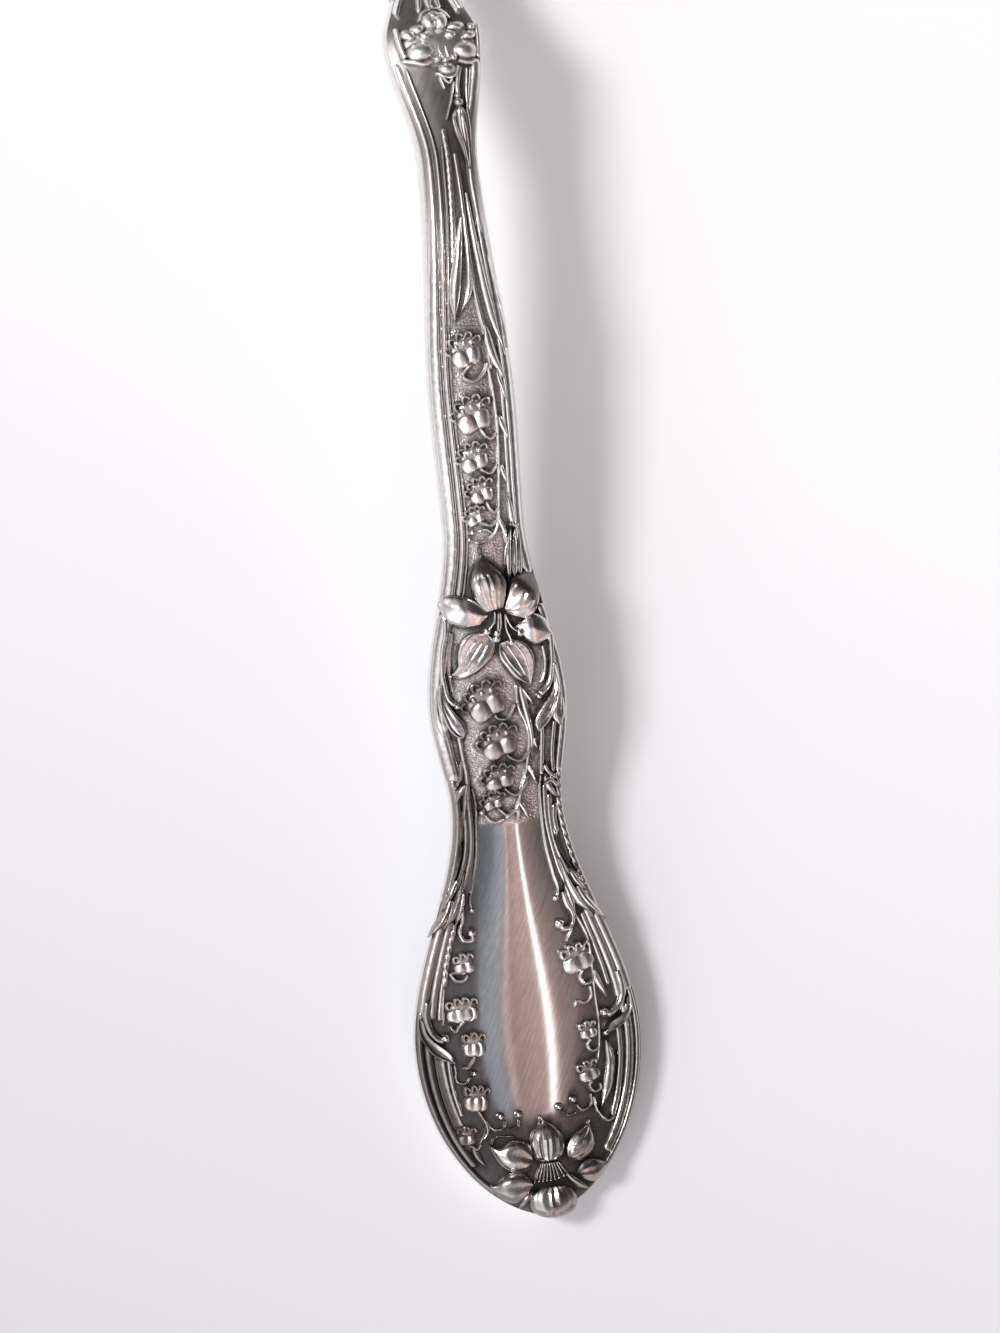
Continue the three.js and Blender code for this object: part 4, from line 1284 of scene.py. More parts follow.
@dataclass(frozen=True)
class HandleBody:
    """The struck handle under the relief: one smooth closed form from the tip to the soldered joint."""

    form: ForkForm
    segments: int = 220
    face_share: float = 0.74
    row_step: float = 0.33
    tip_rows: int = 26
    side_round: float = 0.6
    corner_share: float = 0.16
    waist_share: float = 0.5
    back_sweep: float = 0.8
    smooth_angle: float = 40.0

    def stations(self) -> np.ndarray:
        """The stations of the rings, from the tip to the joint.

        Returns:
            The stations.
        """
        angle = np.linspace(0, math.pi / 2, self.tip_rows)
        tip = self.form.belly * (1 - np.cos(angle))
        rows = int((self.form.joint - self.form.belly) / self.row_step)
        return np.concatenate([tip, np.linspace(self.form.belly, self.form.joint, rows)[1:]])

    def build(self) -> Piece:
        """Shapes a ball's rings and segments into the handle.

        Returns:
            The handle.
        """
        rings = self.stations()
        count = len(rings) + 1
        bpy.ops.object.select_all(action="DESELECT")
        bpy.ops.mesh.primitive_uv_sphere_add(segments=self.segments, ring_count=count, radius=MM)
        piece = bpy.context.object
        piece.name = "handle_silver"
        ball = coordinates(piece)
        row = np.rint(np.arccos(np.clip(ball[:, 2], -1, 1)) / math.pi * count).astype(int)
        column = np.rint(np.arctan2(ball[:, 1], ball[:, 0]) / (2 * math.pi) * self.segments) % self.segments
        s = rings[np.clip(row - 1, 0, len(rings) - 1)]
        poles = (row == 0) | (row == count)
        piece.data.vertices.foreach_set("co", (self.loop(s, column / self.segments, poles) * MM).ravel())
        close_up(piece, self.smooth_angle)
        return piece

    def loop(self, s: np.ndarray, turn: np.ndarray, poles: np.ndarray) -> np.ndarray:
        """Places points round the handle's section.

        Args:
            s: The station of each point.
            turn: Each point's share of the way round, across the face first and then round the back.
            poles: Which points close the two ends.

        Returns:
            Points in millimetres.
        """
        half = self.form.half(s)
        edge = self.form.face_half(s)
        on_face = turn < self.face_share
        across = edge * (-1 + 2 * turn / self.face_share)
        round_turn = np.clip((turn - self.face_share) / (1 - self.face_share), 0, 1)
        corner = self.corner_share
        side = np.sign(0.5 - round_turn)
        from_edge = np.minimum(round_turn, 1 - round_turn)
        upper = from_edge / corner < 1
        lift = np.clip(1 - from_edge / corner, 0, 1) * math.pi / 2
        sweep = np.clip((from_edge - corner) / (0.5 - corner), 0, 1) * math.pi / 2
        lower_reach = half * np.abs(np.cos(sweep)) ** self.side_round
        reach = np.where(upper, edge + (half - edge) * np.cos(lift), lower_reach)
        u = np.where(on_face, across, side * reach)
        u = np.where(poles, 0, u)
        rim = self.form.face(s, edge)
        foot = self.form.back(s, u)
        waist = foot + (rim - foot) * self.waist_share
        lower_side = waist + (foot - waist) * np.sin(sweep) ** self.back_sweep
        under = np.where(upper, waist + (rim - waist) * np.sin(lift), lower_side)
        z = np.where(on_face, self.form.face(s, u), under)
        z = np.where(poles, (self.form.face(s, u) + self.form.back(s, u)) / 2, z)
        return np.stack([u, self.form.along(s), z], axis=1)


@dataclass(frozen=True)
class ForkHead:
    """The forged head: neck, cupped palm and four tines."""

    form: ForkForm
    tines: int = 4
    slot_half: float = 2.7
    pitch: float = 11.6
    point_half: float = 1.1
    point_length: float = 14
    columns: int = 9
    edge_bevel: float = 0.55
    bevel_steps: int = 4
    bevel_angle: float = 55.0
    smooth_angle: float = 60.0
    neck_rows: int = 45
    root_rows: int = 12
    tine_rows: int = 32
    point_rows: int = 7

    def stations(self) -> np.ndarray:
        """The stations of the rows, closest at the slots' roots and at the points.

        Returns:
            The stations.
        """
        root = self.form.slots
        arc = root + self.slot_half * (1 - np.cos(np.linspace(0, math.pi / 2, self.root_rows)))
        end = self.form.tips - self.point_half * (1 - np.sin(np.linspace(0, math.pi / 2, self.point_rows)))
        return np.concatenate([
            np.linspace(self.form.joint, root, self.neck_rows)[:-1],
            arc,
            np.linspace(arc[-1], end[0], self.tine_rows)[1:-1],
            end,
        ])

    def edges(self, s: np.ndarray, tine: int) -> tuple[np.ndarray, np.ndarray]:
        """The left and right edges of a tine, which meet its neighbours' below the slots.

        Args:
            s: Stations.
            tine: The tine's number, from the left.

        Returns:
            The offsets of both edges.
        """
        half = self.form.half(s)
        deep = s - self.form.slots
        root = self.slot_half - np.clip(deep, 0, self.slot_half)
        arc = np.sqrt(np.clip(self.slot_half**2 - root**2, 0, None))
        flare = np.clip((s - self.form.tips + self.point_length) / self.point_length, 0, 1)
        mouth = self.pitch / 2 - self.point_half - self.slot_half
        gap = np.where(deep > 0, arc, 0) + mouth * (1 - np.sqrt(np.clip(1 - flare**2, 0, 1)))
        left_slot = (tine - self.tines / 2) * self.pitch
        right_slot = left_slot + self.pitch
        spread = np.where(s < self.form.slots, half / self.form.palm_half, 1)
        left = -half if tine == 0 else left_slot * spread + gap
        right = half if tine == self.tines - 1 else right_slot * spread - gap
        middle, wide = (left + right) / 2, (right - left) / 2
        tip = np.clip((s - self.form.tips + self.point_half) / self.point_half, 0, 1)
        wide = wide * np.sqrt(np.clip(1 - 0.9 * tip**2, 0, 1))
        return middle - wide, middle + wide

    def build(self) -> Piece:
        """Lays a grid on each tine and its part of the palm, joins them, and gives them their thickness.

        Returns:
            The head.
        """
        rows = self.stations()
        bpy.ops.object.select_all(action="DESELECT")
        tops = []
        for tine in range(self.tines):
            bpy.ops.mesh.primitive_grid_add(x_subdivisions=self.columns, y_subdivisions=len(rows) - 1, size=1)
            if tine == 0:
                piece = bpy.context.object
                piece.name = "head_silver"
                bpy.ops.object.mode_set(mode="EDIT")
            left, right = self.edges(rows, tine)
            share = np.linspace(0, 1, self.columns + 1)[None, :]
            u = left[:, None] + (right - left)[:, None] * share
            s = np.repeat(rows[:, None], self.columns + 1, axis=1)
            tops.append(np.stack([u, self.form.along(s), self.form.face(s, u)], axis=2).reshape(-1, 3))
        bpy.ops.object.mode_set(mode="OBJECT")
        piece.data.vertices.foreach_set("co", (np.concatenate(tops) * MM).ravel())
        bpy.ops.object.mode_set(mode="EDIT")
        bpy.ops.mesh.select_all(action="SELECT")
        bpy.ops.mesh.remove_doubles(threshold=0.01 * MM)
        bpy.ops.object.mode_set(mode="OBJECT")
        faces = len(piece.data.vertices)
        bpy.ops.object.mode_set(mode="EDIT")
        bpy.ops.mesh.select_all(action="SELECT")
        bpy.ops.mesh.extrude_region_move(TRANSFORM_OT_translate={"value": (0, 0, -MM)})
        bpy.ops.object.mode_set(mode="OBJECT")
        points = coordinates(piece)
        s = self.form.station(points[faces:, 1])
        points[faces:, 2] = self.form.back(s, points[faces:, 0])
        piece.data.vertices.foreach_set("co", (points * MM).ravel())
        self.round_edges(piece)
        return piece

    def round_edges(self, piece: Piece) -> None:
        """Rounds the head's edges.

        Args:
            piece: The piece.
        """
        close_up(piece, self.smooth_angle)
        bevel = piece.modifiers.new("rounded edges", "BEVEL")
        bevel.width = self.edge_bevel * MM
        bevel.segments = self.bevel_steps
        bevel.limit_method = "ANGLE"
        bevel.angle_limit = math.radians(self.bevel_angle)
        bevel.use_clamp_overlap = True
        bpy.ops.object.modifier_apply(modifier=bevel.name)
        close_up(piece, self.smooth_angle)

    def neck_reeds(self) -> list[Strap]:
        """The reeds that run out of the knuckle onto the neck.

        Returns:
            The straps.
        """
        reeds = []
        for sizes, path in (
            ((0.42, 0.8), [(144.0, 4.0), (148.0, 2.5), (153.0, 2.2), (160.0, 3.4)]),
            ((0.36, 0.7), [(144.2, 1.2), (148.0, 0.8), (157.0, 0.9)]),
        ):
            for side in Side:
                reed = [(s, side.value * u) for s, u in path]
                reeds.append(Strap(reed, *sizes, outline=Outline.TAPER))
        return reeds + [leaf([(144.0, 0.0), (148.0, 0.0), (155.0, 0.0)], 0.6, 0.9)]


class ReliefMap:
    """The relief's height over the ground on a fine grid, which tells where silver has darkened.

    Polishing keeps high places bright, and the low places between them go dark: patina and painted shade.
    """

    PITCH = 0.1
    START = -3.0
    LENGTH = 165
    LEFT = -18.0
    WIDTH = 36
    NEAR_CELLS = 3
    WIDE_CELLS = 8
    NEAR_SHARE = 0.72
    WIDE_SHARE = 0.16
    # The paths of the two deep slots, whose shade is painted black on the relief and the ground.
    SHADED_SLOTS = (
        ((45.4, -6.0), (43.2, -6.35), (41.2, -6.95)),
        ((44.9, 5.33), (43.4, 5.74), (42.0, 6.36), (40.7, 7.5)),
    )

    def __init__(self, form: ForkForm) -> None:
        """Starts with bare ground.

        Args:
            form: The fork's form.
        """
        self.form = form
        self.height = np.zeros((int(self.LENGTH / self.PITCH), int(self.WIDTH / self.PITCH)))
        self.near = self.height
        self.wide = self.height

    def cells(self, points: np.ndarray) -> tuple[np.ndarray, np.ndarray]:
        """The grid cells that hold points in millimetres.

        Args:
            points: Points in millimetres.

        Returns:
            Each point's row and column.
        """
        row = ((self.form.station(points[:, 1]) - self.START) / self.PITCH).astype(int)
        column = ((points[:, 0] - self.LEFT) / self.PITCH).astype(int)
        return np.clip(row, 0, self.height.shape[0] - 1), np.clip(column, 0, self.height.shape[1] - 1)

    def over_ground(self, points: np.ndarray) -> np.ndarray:
        """How far points in millimetres stand over the bare face."""
        return points[:, 2] - self.form.face(self.form.station(points[:, 1]), points[:, 0])

    def add(self, piece: Piece) -> None:
        """Adds a relief piece's height."""
        points = coordinates(piece)
        np.maximum.at(self.height, self.cells(points), np.maximum(0, self.over_ground(points)))

    def settle(self) -> None:
        """Fills the grid between points and averages the height near and far."""
        for _ in range(2):
            grown = self.height.copy()
            for shift in (-1, 1):
                for axis in (0, 1):
                    grown = np.maximum(grown, np.roll(self.height, shift, axis))
            self.height = np.where(self.height > 0, self.height, grown)
        self.near = self.blurred(self.NEAR_CELLS)
        self.wide = self.blurred(self.WIDE_CELLS)

    def blurred(self, reach: int) -> np.ndarray:
        """The height averaged twice over a square of cells.

        Args:
            reach: How many cells the square reaches each way.

        Returns:
            The averaged heights.
        """
        out = self.height
        for axis in (0, 1, 0, 1):
            total = np.zeros_like(out)
            for shift in range(-reach, reach + 1):
                total += np.roll(out, shift, axis)
            out = total / (2 * reach + 1)
        return out

    def swelling(self, points: np.ndarray) -> np.ndarray:
        """How far the ground rises towards the relief at points in millimetres.

        Args:
            points: Points in millimetres.

        Returns:
            Heights.
        """
        s = self.form.station(points[:, 1])
        row = (s - self.START) / self.PITCH - 0.5
        column = (points[:, 0] - self.LEFT) / self.PITCH - 0.5
        r = np.clip(row.astype(int), 0, self.near.shape[0] - 2)
        c = np.clip(column.astype(int), 0, self.near.shape[1] - 2)
        ahead, beside = row - r, column - c
        first = self.near[r, c] * (1 - beside) + self.near[r, c + 1] * beside
        second = self.near[r + 1, c] * (1 - beside) + self.near[r + 1, c + 1] * beside
        share = ease([0, 46, 50, 116, 122, 150], [0.0, 0.0, 0.25, 0.25, 0.1, 0.1])(s)
        return share * (first * (1 - ahead) + second * ahead)

    def tarnish(self, points: np.ndarray, share: float) -> np.ndarray:
        """How dark the silver is at points in millimetres, from 0 to 1, with a share for the hollows.

        Args:
            points: Points in millimetres.
            share: How much the hollows darken.

        Returns:
            How dark each point is.
        """
        cells = self.cells(points)
        s = self.form.station(points[:, 1])
        # The hollows darken with patina and painted shade, by how far the relief round a point stands over
        # it.
        around = self.NEAR_SHARE * self.near[cells] + self.WIDE_SHARE * self.wide[cells]
        hollow = around - self.over_ground(points)
        gain = ease([0, 16, 38, 48, 72, 102, 108, 130, 140],
                    [0.9, 1.0, 0.9, 1.0, 0.95, 1.05, 0.75, 0.75, 0.7])(s)
        # Round the throat the film is a painted dark reflection of the dim room past the head.
        film = ease([0, 12, 28, 46, 52, 62, 74, 86, 114, 128, 137, 145, 150],
                    [0.38, 0.26, 0.1, 0.12, 0.18, 0.16, 0.16, 0.02, 0.06, 0.46, 0.04, 0.0, 0.0])(s)
        edge_zone = 1 - smooth_step(1.8, 3.2, self.form.face_half(s) - np.abs(points[:, 0]))
        left_share = ease([22, 26, 36, 42], [2.1, 1.3, 1.0, 1.3])(s)
        edge = edge_zone * np.where(points[:, 0] < 0, left_share, 0.3)
        film += edge * ease([0, 8, 24, 30, 38, 50, 54, 60], [0.06, 0.18, 0.22, 0.22, 0.3, 0.28, 0.12, 0.0])(s)
        gain = gain * (1 - 0.35 * edge_zone * (points[:, 0] > 0) * (1 - smooth_step(36, 42, s)))
        # The slots' black is painted shade.
        return np.maximum(film + share * gain * smooth_step(0.04, 0.6, hollow), self.slots(s, points[:, 0]))

    def slots(self, s: np.ndarray, u: np.ndarray) -> np.ndarray:
        """The two deep slots in the waist's borders: painted shade, black over the raised relief.

        Args:
            s: Stations.
            u: Offsets.

        Returns:
            How black each point is.
        """
        nearest = np.full(len(s), 9.0)
        for path in self.SHADED_SLOTS:
            for place in smooth_path(path, 40):
                nearest = np.minimum(nearest, np.hypot(s - place[0], u - place[1]))
        return 1 - smooth_step(0.18, 0.42, nearest)


def by_start(values: dict[str, Any], name: str, default: Any) -> Any:
    """The value whose key starts a name, or the default."""
    return next((value for start, value in values.items() if name.startswith(start)), default)


def paint(piece: Piece, name: str, values: np.ndarray) -> None:
    """Stores one number for each vertex of a piece."""
    layer = piece.data.attributes.new(name, "FLOAT", "POINT")
    layer.data.foreach_set("value", values.astype(np.float32))


def linear(colour: str) -> tuple[float, float, float, float]:
    """Turns an sRGB hex colour to linear.

    Args:
        colour: Six hex digits with a leading mark.

    Returns:
        Red, green, blue and full alpha.
    """
    parts = [int(colour[i : i + 2], 16) / 255 for i in (1, 3, 5)]
    red, green, blue = (c / 12.92 if c <= 0.04045 else ((c + 0.055) / 1.055) ** 2.4 for c in parts)
    return (red, green, blue, 1.0)


def add_node(tree: Tree, kind: Kind, settings: dict[str, Any], inputs: dict[Any, Any]) -> bpy.types.Node:
    """Adds a node with its settings, values and links.

    Args:
        tree: The node tree.
        kind: The node's kind.
        settings: The node's own properties, and a colour ramp's stops.
        inputs: A value or another node's output for each named or numbered input.

    Returns:
        The node.
    """
    node = tree.nodes.new(kind.value)
    for key, value in settings.items():
        if key == "stops":
            set_stops(node.color_ramp, value)
        else:
            setattr(node, key, value)
    for key, value in inputs.items():
        if isinstance(value, Socket):
            tree.links.new(value, node.inputs[key])
        else:
            node.inputs[key].default_value = value
    return node


def set_stops(ramp: bpy.types.ColorRamp, stops: Stops) -> None:
    """Sets a colour ramp's stops.

    Args:
        ramp: The ramp.
        stops: Each stop's place from 0 to 1, and its hex colour.
    """
    while len(ramp.elements) < len(stops):
        ramp.elements.new(0.5)
    for element, (place, colour) in zip(ramp.elements, stops):
        element.position = place
        element.color = linear(colour)


@dataclass(frozen=True)
class Sterling:
    """Sterling silver: rubbed bright, brown-black in the hollows with patina and painted shade, finely
    scratched.

    Sizes that end in mm are real ones. The rest are shares.
    """

    name: str
    tones: Stops = ((0.0, "#EFECEA"), (0.3, "#B6AEAB"), (0.65, "#787371"), (1.0, "#454443"))
    rough: float = 0.12
    dark_rough: float = 0.45
    bright_until: float = 0.22
    matted_rough: float = 0.2
    satin_rough: float = 0.3
    cloud: float = 0.1
    cloud_mm: float = 10 / 9
    grain: float = 1.1
    grain_mm: float = 0.17
    scratch: float = 0.05
    scratch_mm: float = 0.3
    scratch_bump: float = 0.1
    scratch_deep_mm: float = 0.004
    scratch_length: float = 40.0
    scratch_turn: float = -25.0
    chased: float = 0.0
    chased_mm: float = 1.1
    chased_deep_mm: float = 0.25
    stipple: float = 0.0
    stipple_mm: float = 0.25
    stipple_deep_mm: float = 0.12

    def material(self) -> bpy.types.Material:
        """Makes the material.

        Returns:
            The material, which reads the pieces' patina and painted shade, stipple and satin.
        """
        material = bpy.data.materials.new(self.name)
        material.use_nodes = True
        tree = material.node_tree
        tree.nodes.clear()
        place = add_node(tree, Kind.COORDINATES, {}, {}).outputs["Object"]
        where = add_node(tree, Kind.ATTRIBUTE, {"attribute_name": "stipple"}, {}).outputs["Fac"]
        amount = self.darkness(tree, place, where)
        hairs = self.hairlines(tree, place)
        worn = add_node(tree, Kind.MATH, {"operation": "MULTIPLY_ADD", "use_clamp": True},
                        {0: hairs, 1: self.scratch, 2: amount}).outputs[0]
        colour = add_node(tree, Kind.RAMP, {"stops": self.tones}, {"Fac": worn}).outputs["Color"]
        dull = add_node(tree, Kind.RANGE, {},
                        {"Value": amount, "From Min": self.bright_until, "To Min": self.rough,
                         "To Max": self.dark_rough}).outputs[0]
        matted = add_node(tree, Kind.MATH, {"operation": "MULTIPLY_ADD"},
                          {0: where, 1: self.matted_rough, 2: dull}).outputs[0]
        satin = add_node(tree, Kind.ATTRIBUTE, {"attribute_name": "satin"}, {}).outputs["Fac"]
        rough = add_node(tree, Kind.MATH, {"operation": "MULTIPLY_ADD"},
                         {0: satin, 1: self.satin_rough, 2: matted}).outputs[0]
        normal = self.relief(tree, place, hairs, where)
        shader = add_node(tree, Kind.METAL, {},
                          {"Base Color": colour, "Roughness": rough, "Metallic": 1.0, "Normal": normal})
        add_node(tree, Kind.SURFACE, {}, {"Surface": shader.outputs["BSDF"]})
        return material

    def darkness(self, tree: Tree, place: Socket, where: Socket) -> Socket:
        """Adds how dark the silver is: patina and painted shade, clouded all over and grainy where it is
        matted.

        Args:
            tree: The node tree.
            place: The patterns' coordinates.
            where: How matted the ground is.

        Returns:
            The darkness from 0 to 1.
        """
        # The piece's patina and painted shade.
        tarnish = add_node(tree, Kind.ATTRIBUTE, {"attribute_name": "tarnish"}, {}).outputs["Fac"]
        cloud = add_node(tree, Kind.NOISE, {},
                         {"Vector": place, "Scale": 1 / (self.cloud_mm * MM), "Detail": 3.0})
        patch = add_node(tree, Kind.MATH, {"operation": "MULTIPLY_ADD"},
                         {0: cloud.outputs["Fac"], 1: self.cloud, 2: -self.cloud / 2}).outputs[0]
        grain = add_node(tree, Kind.NOISE, {}, {"Vector": place, "Scale": 1 / (self.grain_mm * MM)})
        dots = add_node(tree, Kind.MATH, {"operation": "SUBTRACT"},
                        {0: grain.outputs["Fac"], 1: 0.5}).outputs[0]
        pits = add_node(tree, Kind.MATH, {"operation": "MULTIPLY"}, {0: dots, 1: where}).outputs[0]
        stain = add_node(tree, Kind.MATH, {"operation": "MULTIPLY_ADD"},
                         {0: pits, 1: self.grain, 2: patch}).outputs[0]
        return add_node(tree, Kind.MATH, {"operation": "ADD", "use_clamp": True},
                        {0: tarnish, 1: stain}).outputs[0]

    def hairlines(self, tree: Tree, place: Socket) -> Socket:
        """Adds long slanting scratches, drawn coarser than real ones so that they show.

        Args:
            tree: The node tree.
            place: The patterns' coordinates.

        Returns:
            The scratches, from about -0.5 to 0.5.
        """
        turn = (0, 0, math.radians(self.scratch_turn))
        turned = add_node(tree, Kind.MAPPING, {"vector_type": "TEXTURE"},
                          {"Vector": place, "Rotation": turn, "Scale": (1, self.scratch_length, 1)})
        lines = add_node(tree, Kind.NOISE, {},
                         {"Vector": turned.outputs[0], "Scale": 1 / (self.scratch_mm * MM), "Detail": 3.0})
        return add_node(tree, Kind.MATH, {"operation": "SUBTRACT"},
                        {0: lines.outputs["Fac"], 1: 0.5}).outputs[0]

    def relief(self, tree: Tree, place: Socket, hairs: Socket, where: Socket) -> Socket:
        """Adds the scratches' depth, the waves that chasing leaves, and the punch marks of a matted ground.

        Args:
            tree: The node tree.
            place: The patterns' coordinates.
            hairs: The scratches.
            where: How matted the ground is.

        Returns:
            The surface's normal.
        """
        normal = add_node(tree, Kind.BUMP, {},
                          {"Strength": self.scratch_bump, "Height": hairs,
                           "Distance": self.scratch_deep_mm * MM}).outputs[0]
        if self.chased:
            scale = 1 / (self.chased_mm * MM)
            waves = add_node(tree, Kind.NOISE, {},
                             {"Vector": place, "Scale": scale, "Detail": 1.0}).outputs["Fac"]
            normal = add_node(tree, Kind.BUMP, {},
                              {"Strength": self.chased, "Height": waves, "Normal": normal,
                               "Distance": self.chased_deep_mm * MM}).outputs[0]
        if self.stipple:
            scale = 1 / (self.stipple_mm * MM)
            dots = add_node(tree, Kind.CELLS, {}, {"Vector": place, "Scale": scale}).outputs["Distance"]
            power = add_node(tree, Kind.MATH, {"operation": "MULTIPLY"},
                             {0: where, 1: self.stipple}).outputs[0]
            normal = add_node(tree, Kind.BUMP, {},
                              {"Strength": power, "Height": dots, "Normal": normal,
                               "Distance": self.stipple_deep_mm * MM}).outputs[0]
        return normal


@dataclass(frozen=True)
class Table:
    """A plain white table top under the fork."""

    size: float = 4.0
    # Painted falloff of light: the tones run from grey at the near left to white at the far right.
    tones: Stops = ((0.0, "#D3D3D7"), (0.4, "#E9E9EC"), (0.7, "#F9F9FA"), (1.0, "#FDFDFE"))
    rough: float = 0.9
    specular: float = 0.1
    slope: tuple[float, float, float] = (0.5437, 0.839, 0.0)
    near: float = -0.15
    far: float = 0.06
    glow: float = 0.09

    def build(self) -> Piece:
        """Makes the table's surface.

        Returns:
            The staged table.
        """
        bpy.ops.object.select_all(action="DESELECT")
        bpy.ops.mesh.primitive_plane_add(size=self.size, location=(0, 0, 0))
        top = bpy.context.object
        top.name = "table_top"
        # Matt white paint: even and soft, so that it only carries the shadow and its painted falloff of
        # light.
        material = bpy.data.materials.new("matt white painted board")
        material.use_nodes = True
        tree = material.node_tree
        shader = tree.nodes["Principled BSDF"]
        shader.inputs["Roughness"].default_value = self.rough
        shader.inputs["Specular IOR Level"].default_value = self.specular
        tree.links.new(self.shade(tree), shader.inputs["Base Color"])
        # The photograph's table is exposed to white, which only the camera and the mirror bright silver see.
        rays = add_node(tree, Kind.RAYS, {}, {}).outputs
        seen = rays["Is Camera Ray"]
        for ray in ("Is Glossy Ray", "Is Transmission Ray"):
            seen = add_node(tree, Kind.MATH, {"operation": "MAXIMUM"}, {0: seen, 1: rays[ray]}).outputs[0]
        glow = add_node(tree, Kind.MATH, {"operation": "MULTIPLY"}, {0: seen, 1: self.glow}).outputs[0]
        shader.inputs["Emission Color"].default_value = linear("#FFFFFF")
        tree.links.new(glow, shader.inputs["Emission Strength"])
        top.data.materials.append(material)
        return top

    def shade(self, tree: Tree) -> Socket:
        """Adds the table's tone, a shade greyer towards the near left corner.

        Args:
            tree: The node tree.

        Returns:
            Adds the table's tone, with a painted falloff of light that makes it greyer towards the near left
            corner.
        """
        place = add_node(tree, Kind.COORDINATES, {}, {}).outputs["Object"]
        way = add_node(tree, Kind.VECTOR_MATH, {"operation": "DOT_PRODUCT"}, {0: place, 1: self.slope})
        share = add_node(tree, Kind.RANGE, {},
                         {"Value": way.outputs["Value"], "From Min": self.near, "From Max": self.far})
        return add_node(tree, Kind.RAMP, {"stops": self.tones}, {"Fac": share.outputs[0]}).outputs["Color"]


@dataclass(frozen=True)
class Studio:
    """A soft window light from the left, and the pale room that the silver mirrors.

    The room's tones run across it from the left to the right, and along it from the tip's end to the head's.
    """

    aim: tuple[float, float, float] = (0.0, -0.05, 0.0)
    azimuth: float = 162.0
    elevation: float = 45.5
    distance: float = 2.6
    window: tuple[float, float] = (0.55, 0.55)
    window_power: float = 42.5
    strength: float = 2.2
    across: Stops = (
        (0.0, "#B4B5B7"), (0.1, "#F2F3F5"), (0.25, "#EAEBEE"), (0.33, "#ABADB1"), (0.385, "#6E7278"),
        (0.43, "#5E6167"), (0.47, "#6B6F76"), (0.505, "#868B94"), (0.53, "#969BA4"), (0.538, "#7E7F86"),
        (0.543, "#C6B3B0"), (0.549, "#BFA9A6"), (0.553, "#937D7B"), (0.562, "#A18B89"), (0.585, "#AC9693"),
        (0.605, "#A48E8C"), (0.617, "#94807D"), (0.65, "#7C706D"), (0.7, "#655E5C"), (0.78, "#474645"),
        (0.9, "#4D4C4B"), (1.0, "#787777"),
    )
    along: Stops = (
        (0.0, "#E6E6E6"), (0.15, "#FFFFFF"), (0.26, "#FFFFFF"), (0.34, "#D6D6D6"), (0.43, "#D4D4D4"),
        (0.48, "#B0B0B0"), (0.53, "#A0A0A0"), (0.6, "#A0A0A0"), (0.68, "#A8A8A8"), (0.76, "#ACACAC"),
        (0.81, "#A4A4A4"), (0.88, "#545454"), (0.95, "#505050"), (1.0, "#707070"),
    )
    near_wall: Stops = (
        (0.0, "#7C7C7E"), (0.44, "#7C7C7E"), (0.54, "#8A7571"), (0.75, "#7E716E"), (1.0, "#524F4E"),
    )
    near_along: Stops = ((0.0, "#FFFFFF"), (0.19, "#FFFFFF"), (0.285, "#000000"), (1.0, "#000000"))
    strip: Stops = (
        (0.0, "#000000"), (0.6045, "#000000"), (0.605, "#FFFFFF"),
        (0.613, "#FFFFFF"), (0.6135, "#000000"), (1.0, "#000000"),
    )
    strip_along: Stops = ((0.0, "#FFFFFF"), (0.44, "#FFFFFF"), (0.47, "#000000"), (1.0, "#000000"))

    def build(self) -> None:
        """Makes the window and the world."""
        bpy.ops.object.select_all(action="DESELECT")
        turn, up = math.radians(self.azimuth), math.radians(self.elevation)
        way = Vector((math.cos(turn) * math.cos(up), math.sin(turn) * math.cos(up), math.sin(up)))
        bpy.ops.object.light_add(type="AREA", location=way * self.distance + Vector(self.aim))
        lamp = bpy.context.object
        lamp.name = "window_light"
        lamp.rotation_euler = way.to_track_quat("Z", "Y").to_euler()
        lamp.data.shape = "RECTANGLE"
        lamp.data.size, lamp.data.size_y = self.window
        lamp.data.energy = self.window_power
        self.world()

    def world(self) -> None:
        """Paints the room: a bright window wall on the left, cards overhead, and dimmer past the head."""
        world = bpy.data.worlds.new("studio_room")
        bpy.context.scene.world = world
        world.use_nodes = True
        tree = world.node_tree
        tree.nodes.clear()
        way = add_node(tree, Kind.COORDINATES, {}, {}).outputs["Generated"]
        parts = add_node(tree, Kind.SEPARATE, {}, {"Vector": way})
        shares = {}
        for axis in "XY":
            share = add_node(tree, Kind.MATH, {"operation": "MULTIPLY_ADD"},
                             {0: parts.outputs[axis], 1: 0.5, 2: 0.5})
            shares[axis] = share.outputs[0]
        room = self.crossed(tree, shares, self.across, self.along)
        for across, along in ((self.near_wall, self.near_along), (self.strip, self.strip_along)):
            part = self.crossed(tree, shares, across, along)
            # A mix of colours takes them at its inputs 6 and 7, and gives the mix at its output 2.
            room = add_node(tree, Kind.MIX, {"data_type": "RGBA", "blend_type": "ADD"},
                            {"Factor": 1.0, 6: room, 7: part}).outputs[2]
        light = add_node(tree, Kind.BACKGROUND, {}, {"Color": room, "Strength": self.strength})
        add_node(tree, Kind.WORLD, {}, {"Surface": light.outputs[0]})

    @staticmethod
    def crossed(tree: Tree, shares: dict[str, Socket], across: Stops, along: Stops) -> Socket:
        """Multiplies tones across the room by tones along it.

        Args:
            tree: The node tree.
            shares: How far a direction is along X and Y, from 0 to 1.
            across: The tones across the room.
            along: The tones along it.

        Returns:
            The colour.
        """
        first, second = (
            add_node(tree, Kind.RAMP, {"stops": stops}, {"Fac": shares[axis]}).outputs["Color"]
            for axis, stops in (("X", across), ("Y", along))
        )
        return add_node(tree, Kind.MIX, {"data_type": "RGBA", "blend_type": "MULTIPLY"},
                        {"Factor": 1.0, 6: first, 7: second}).outputs[2]


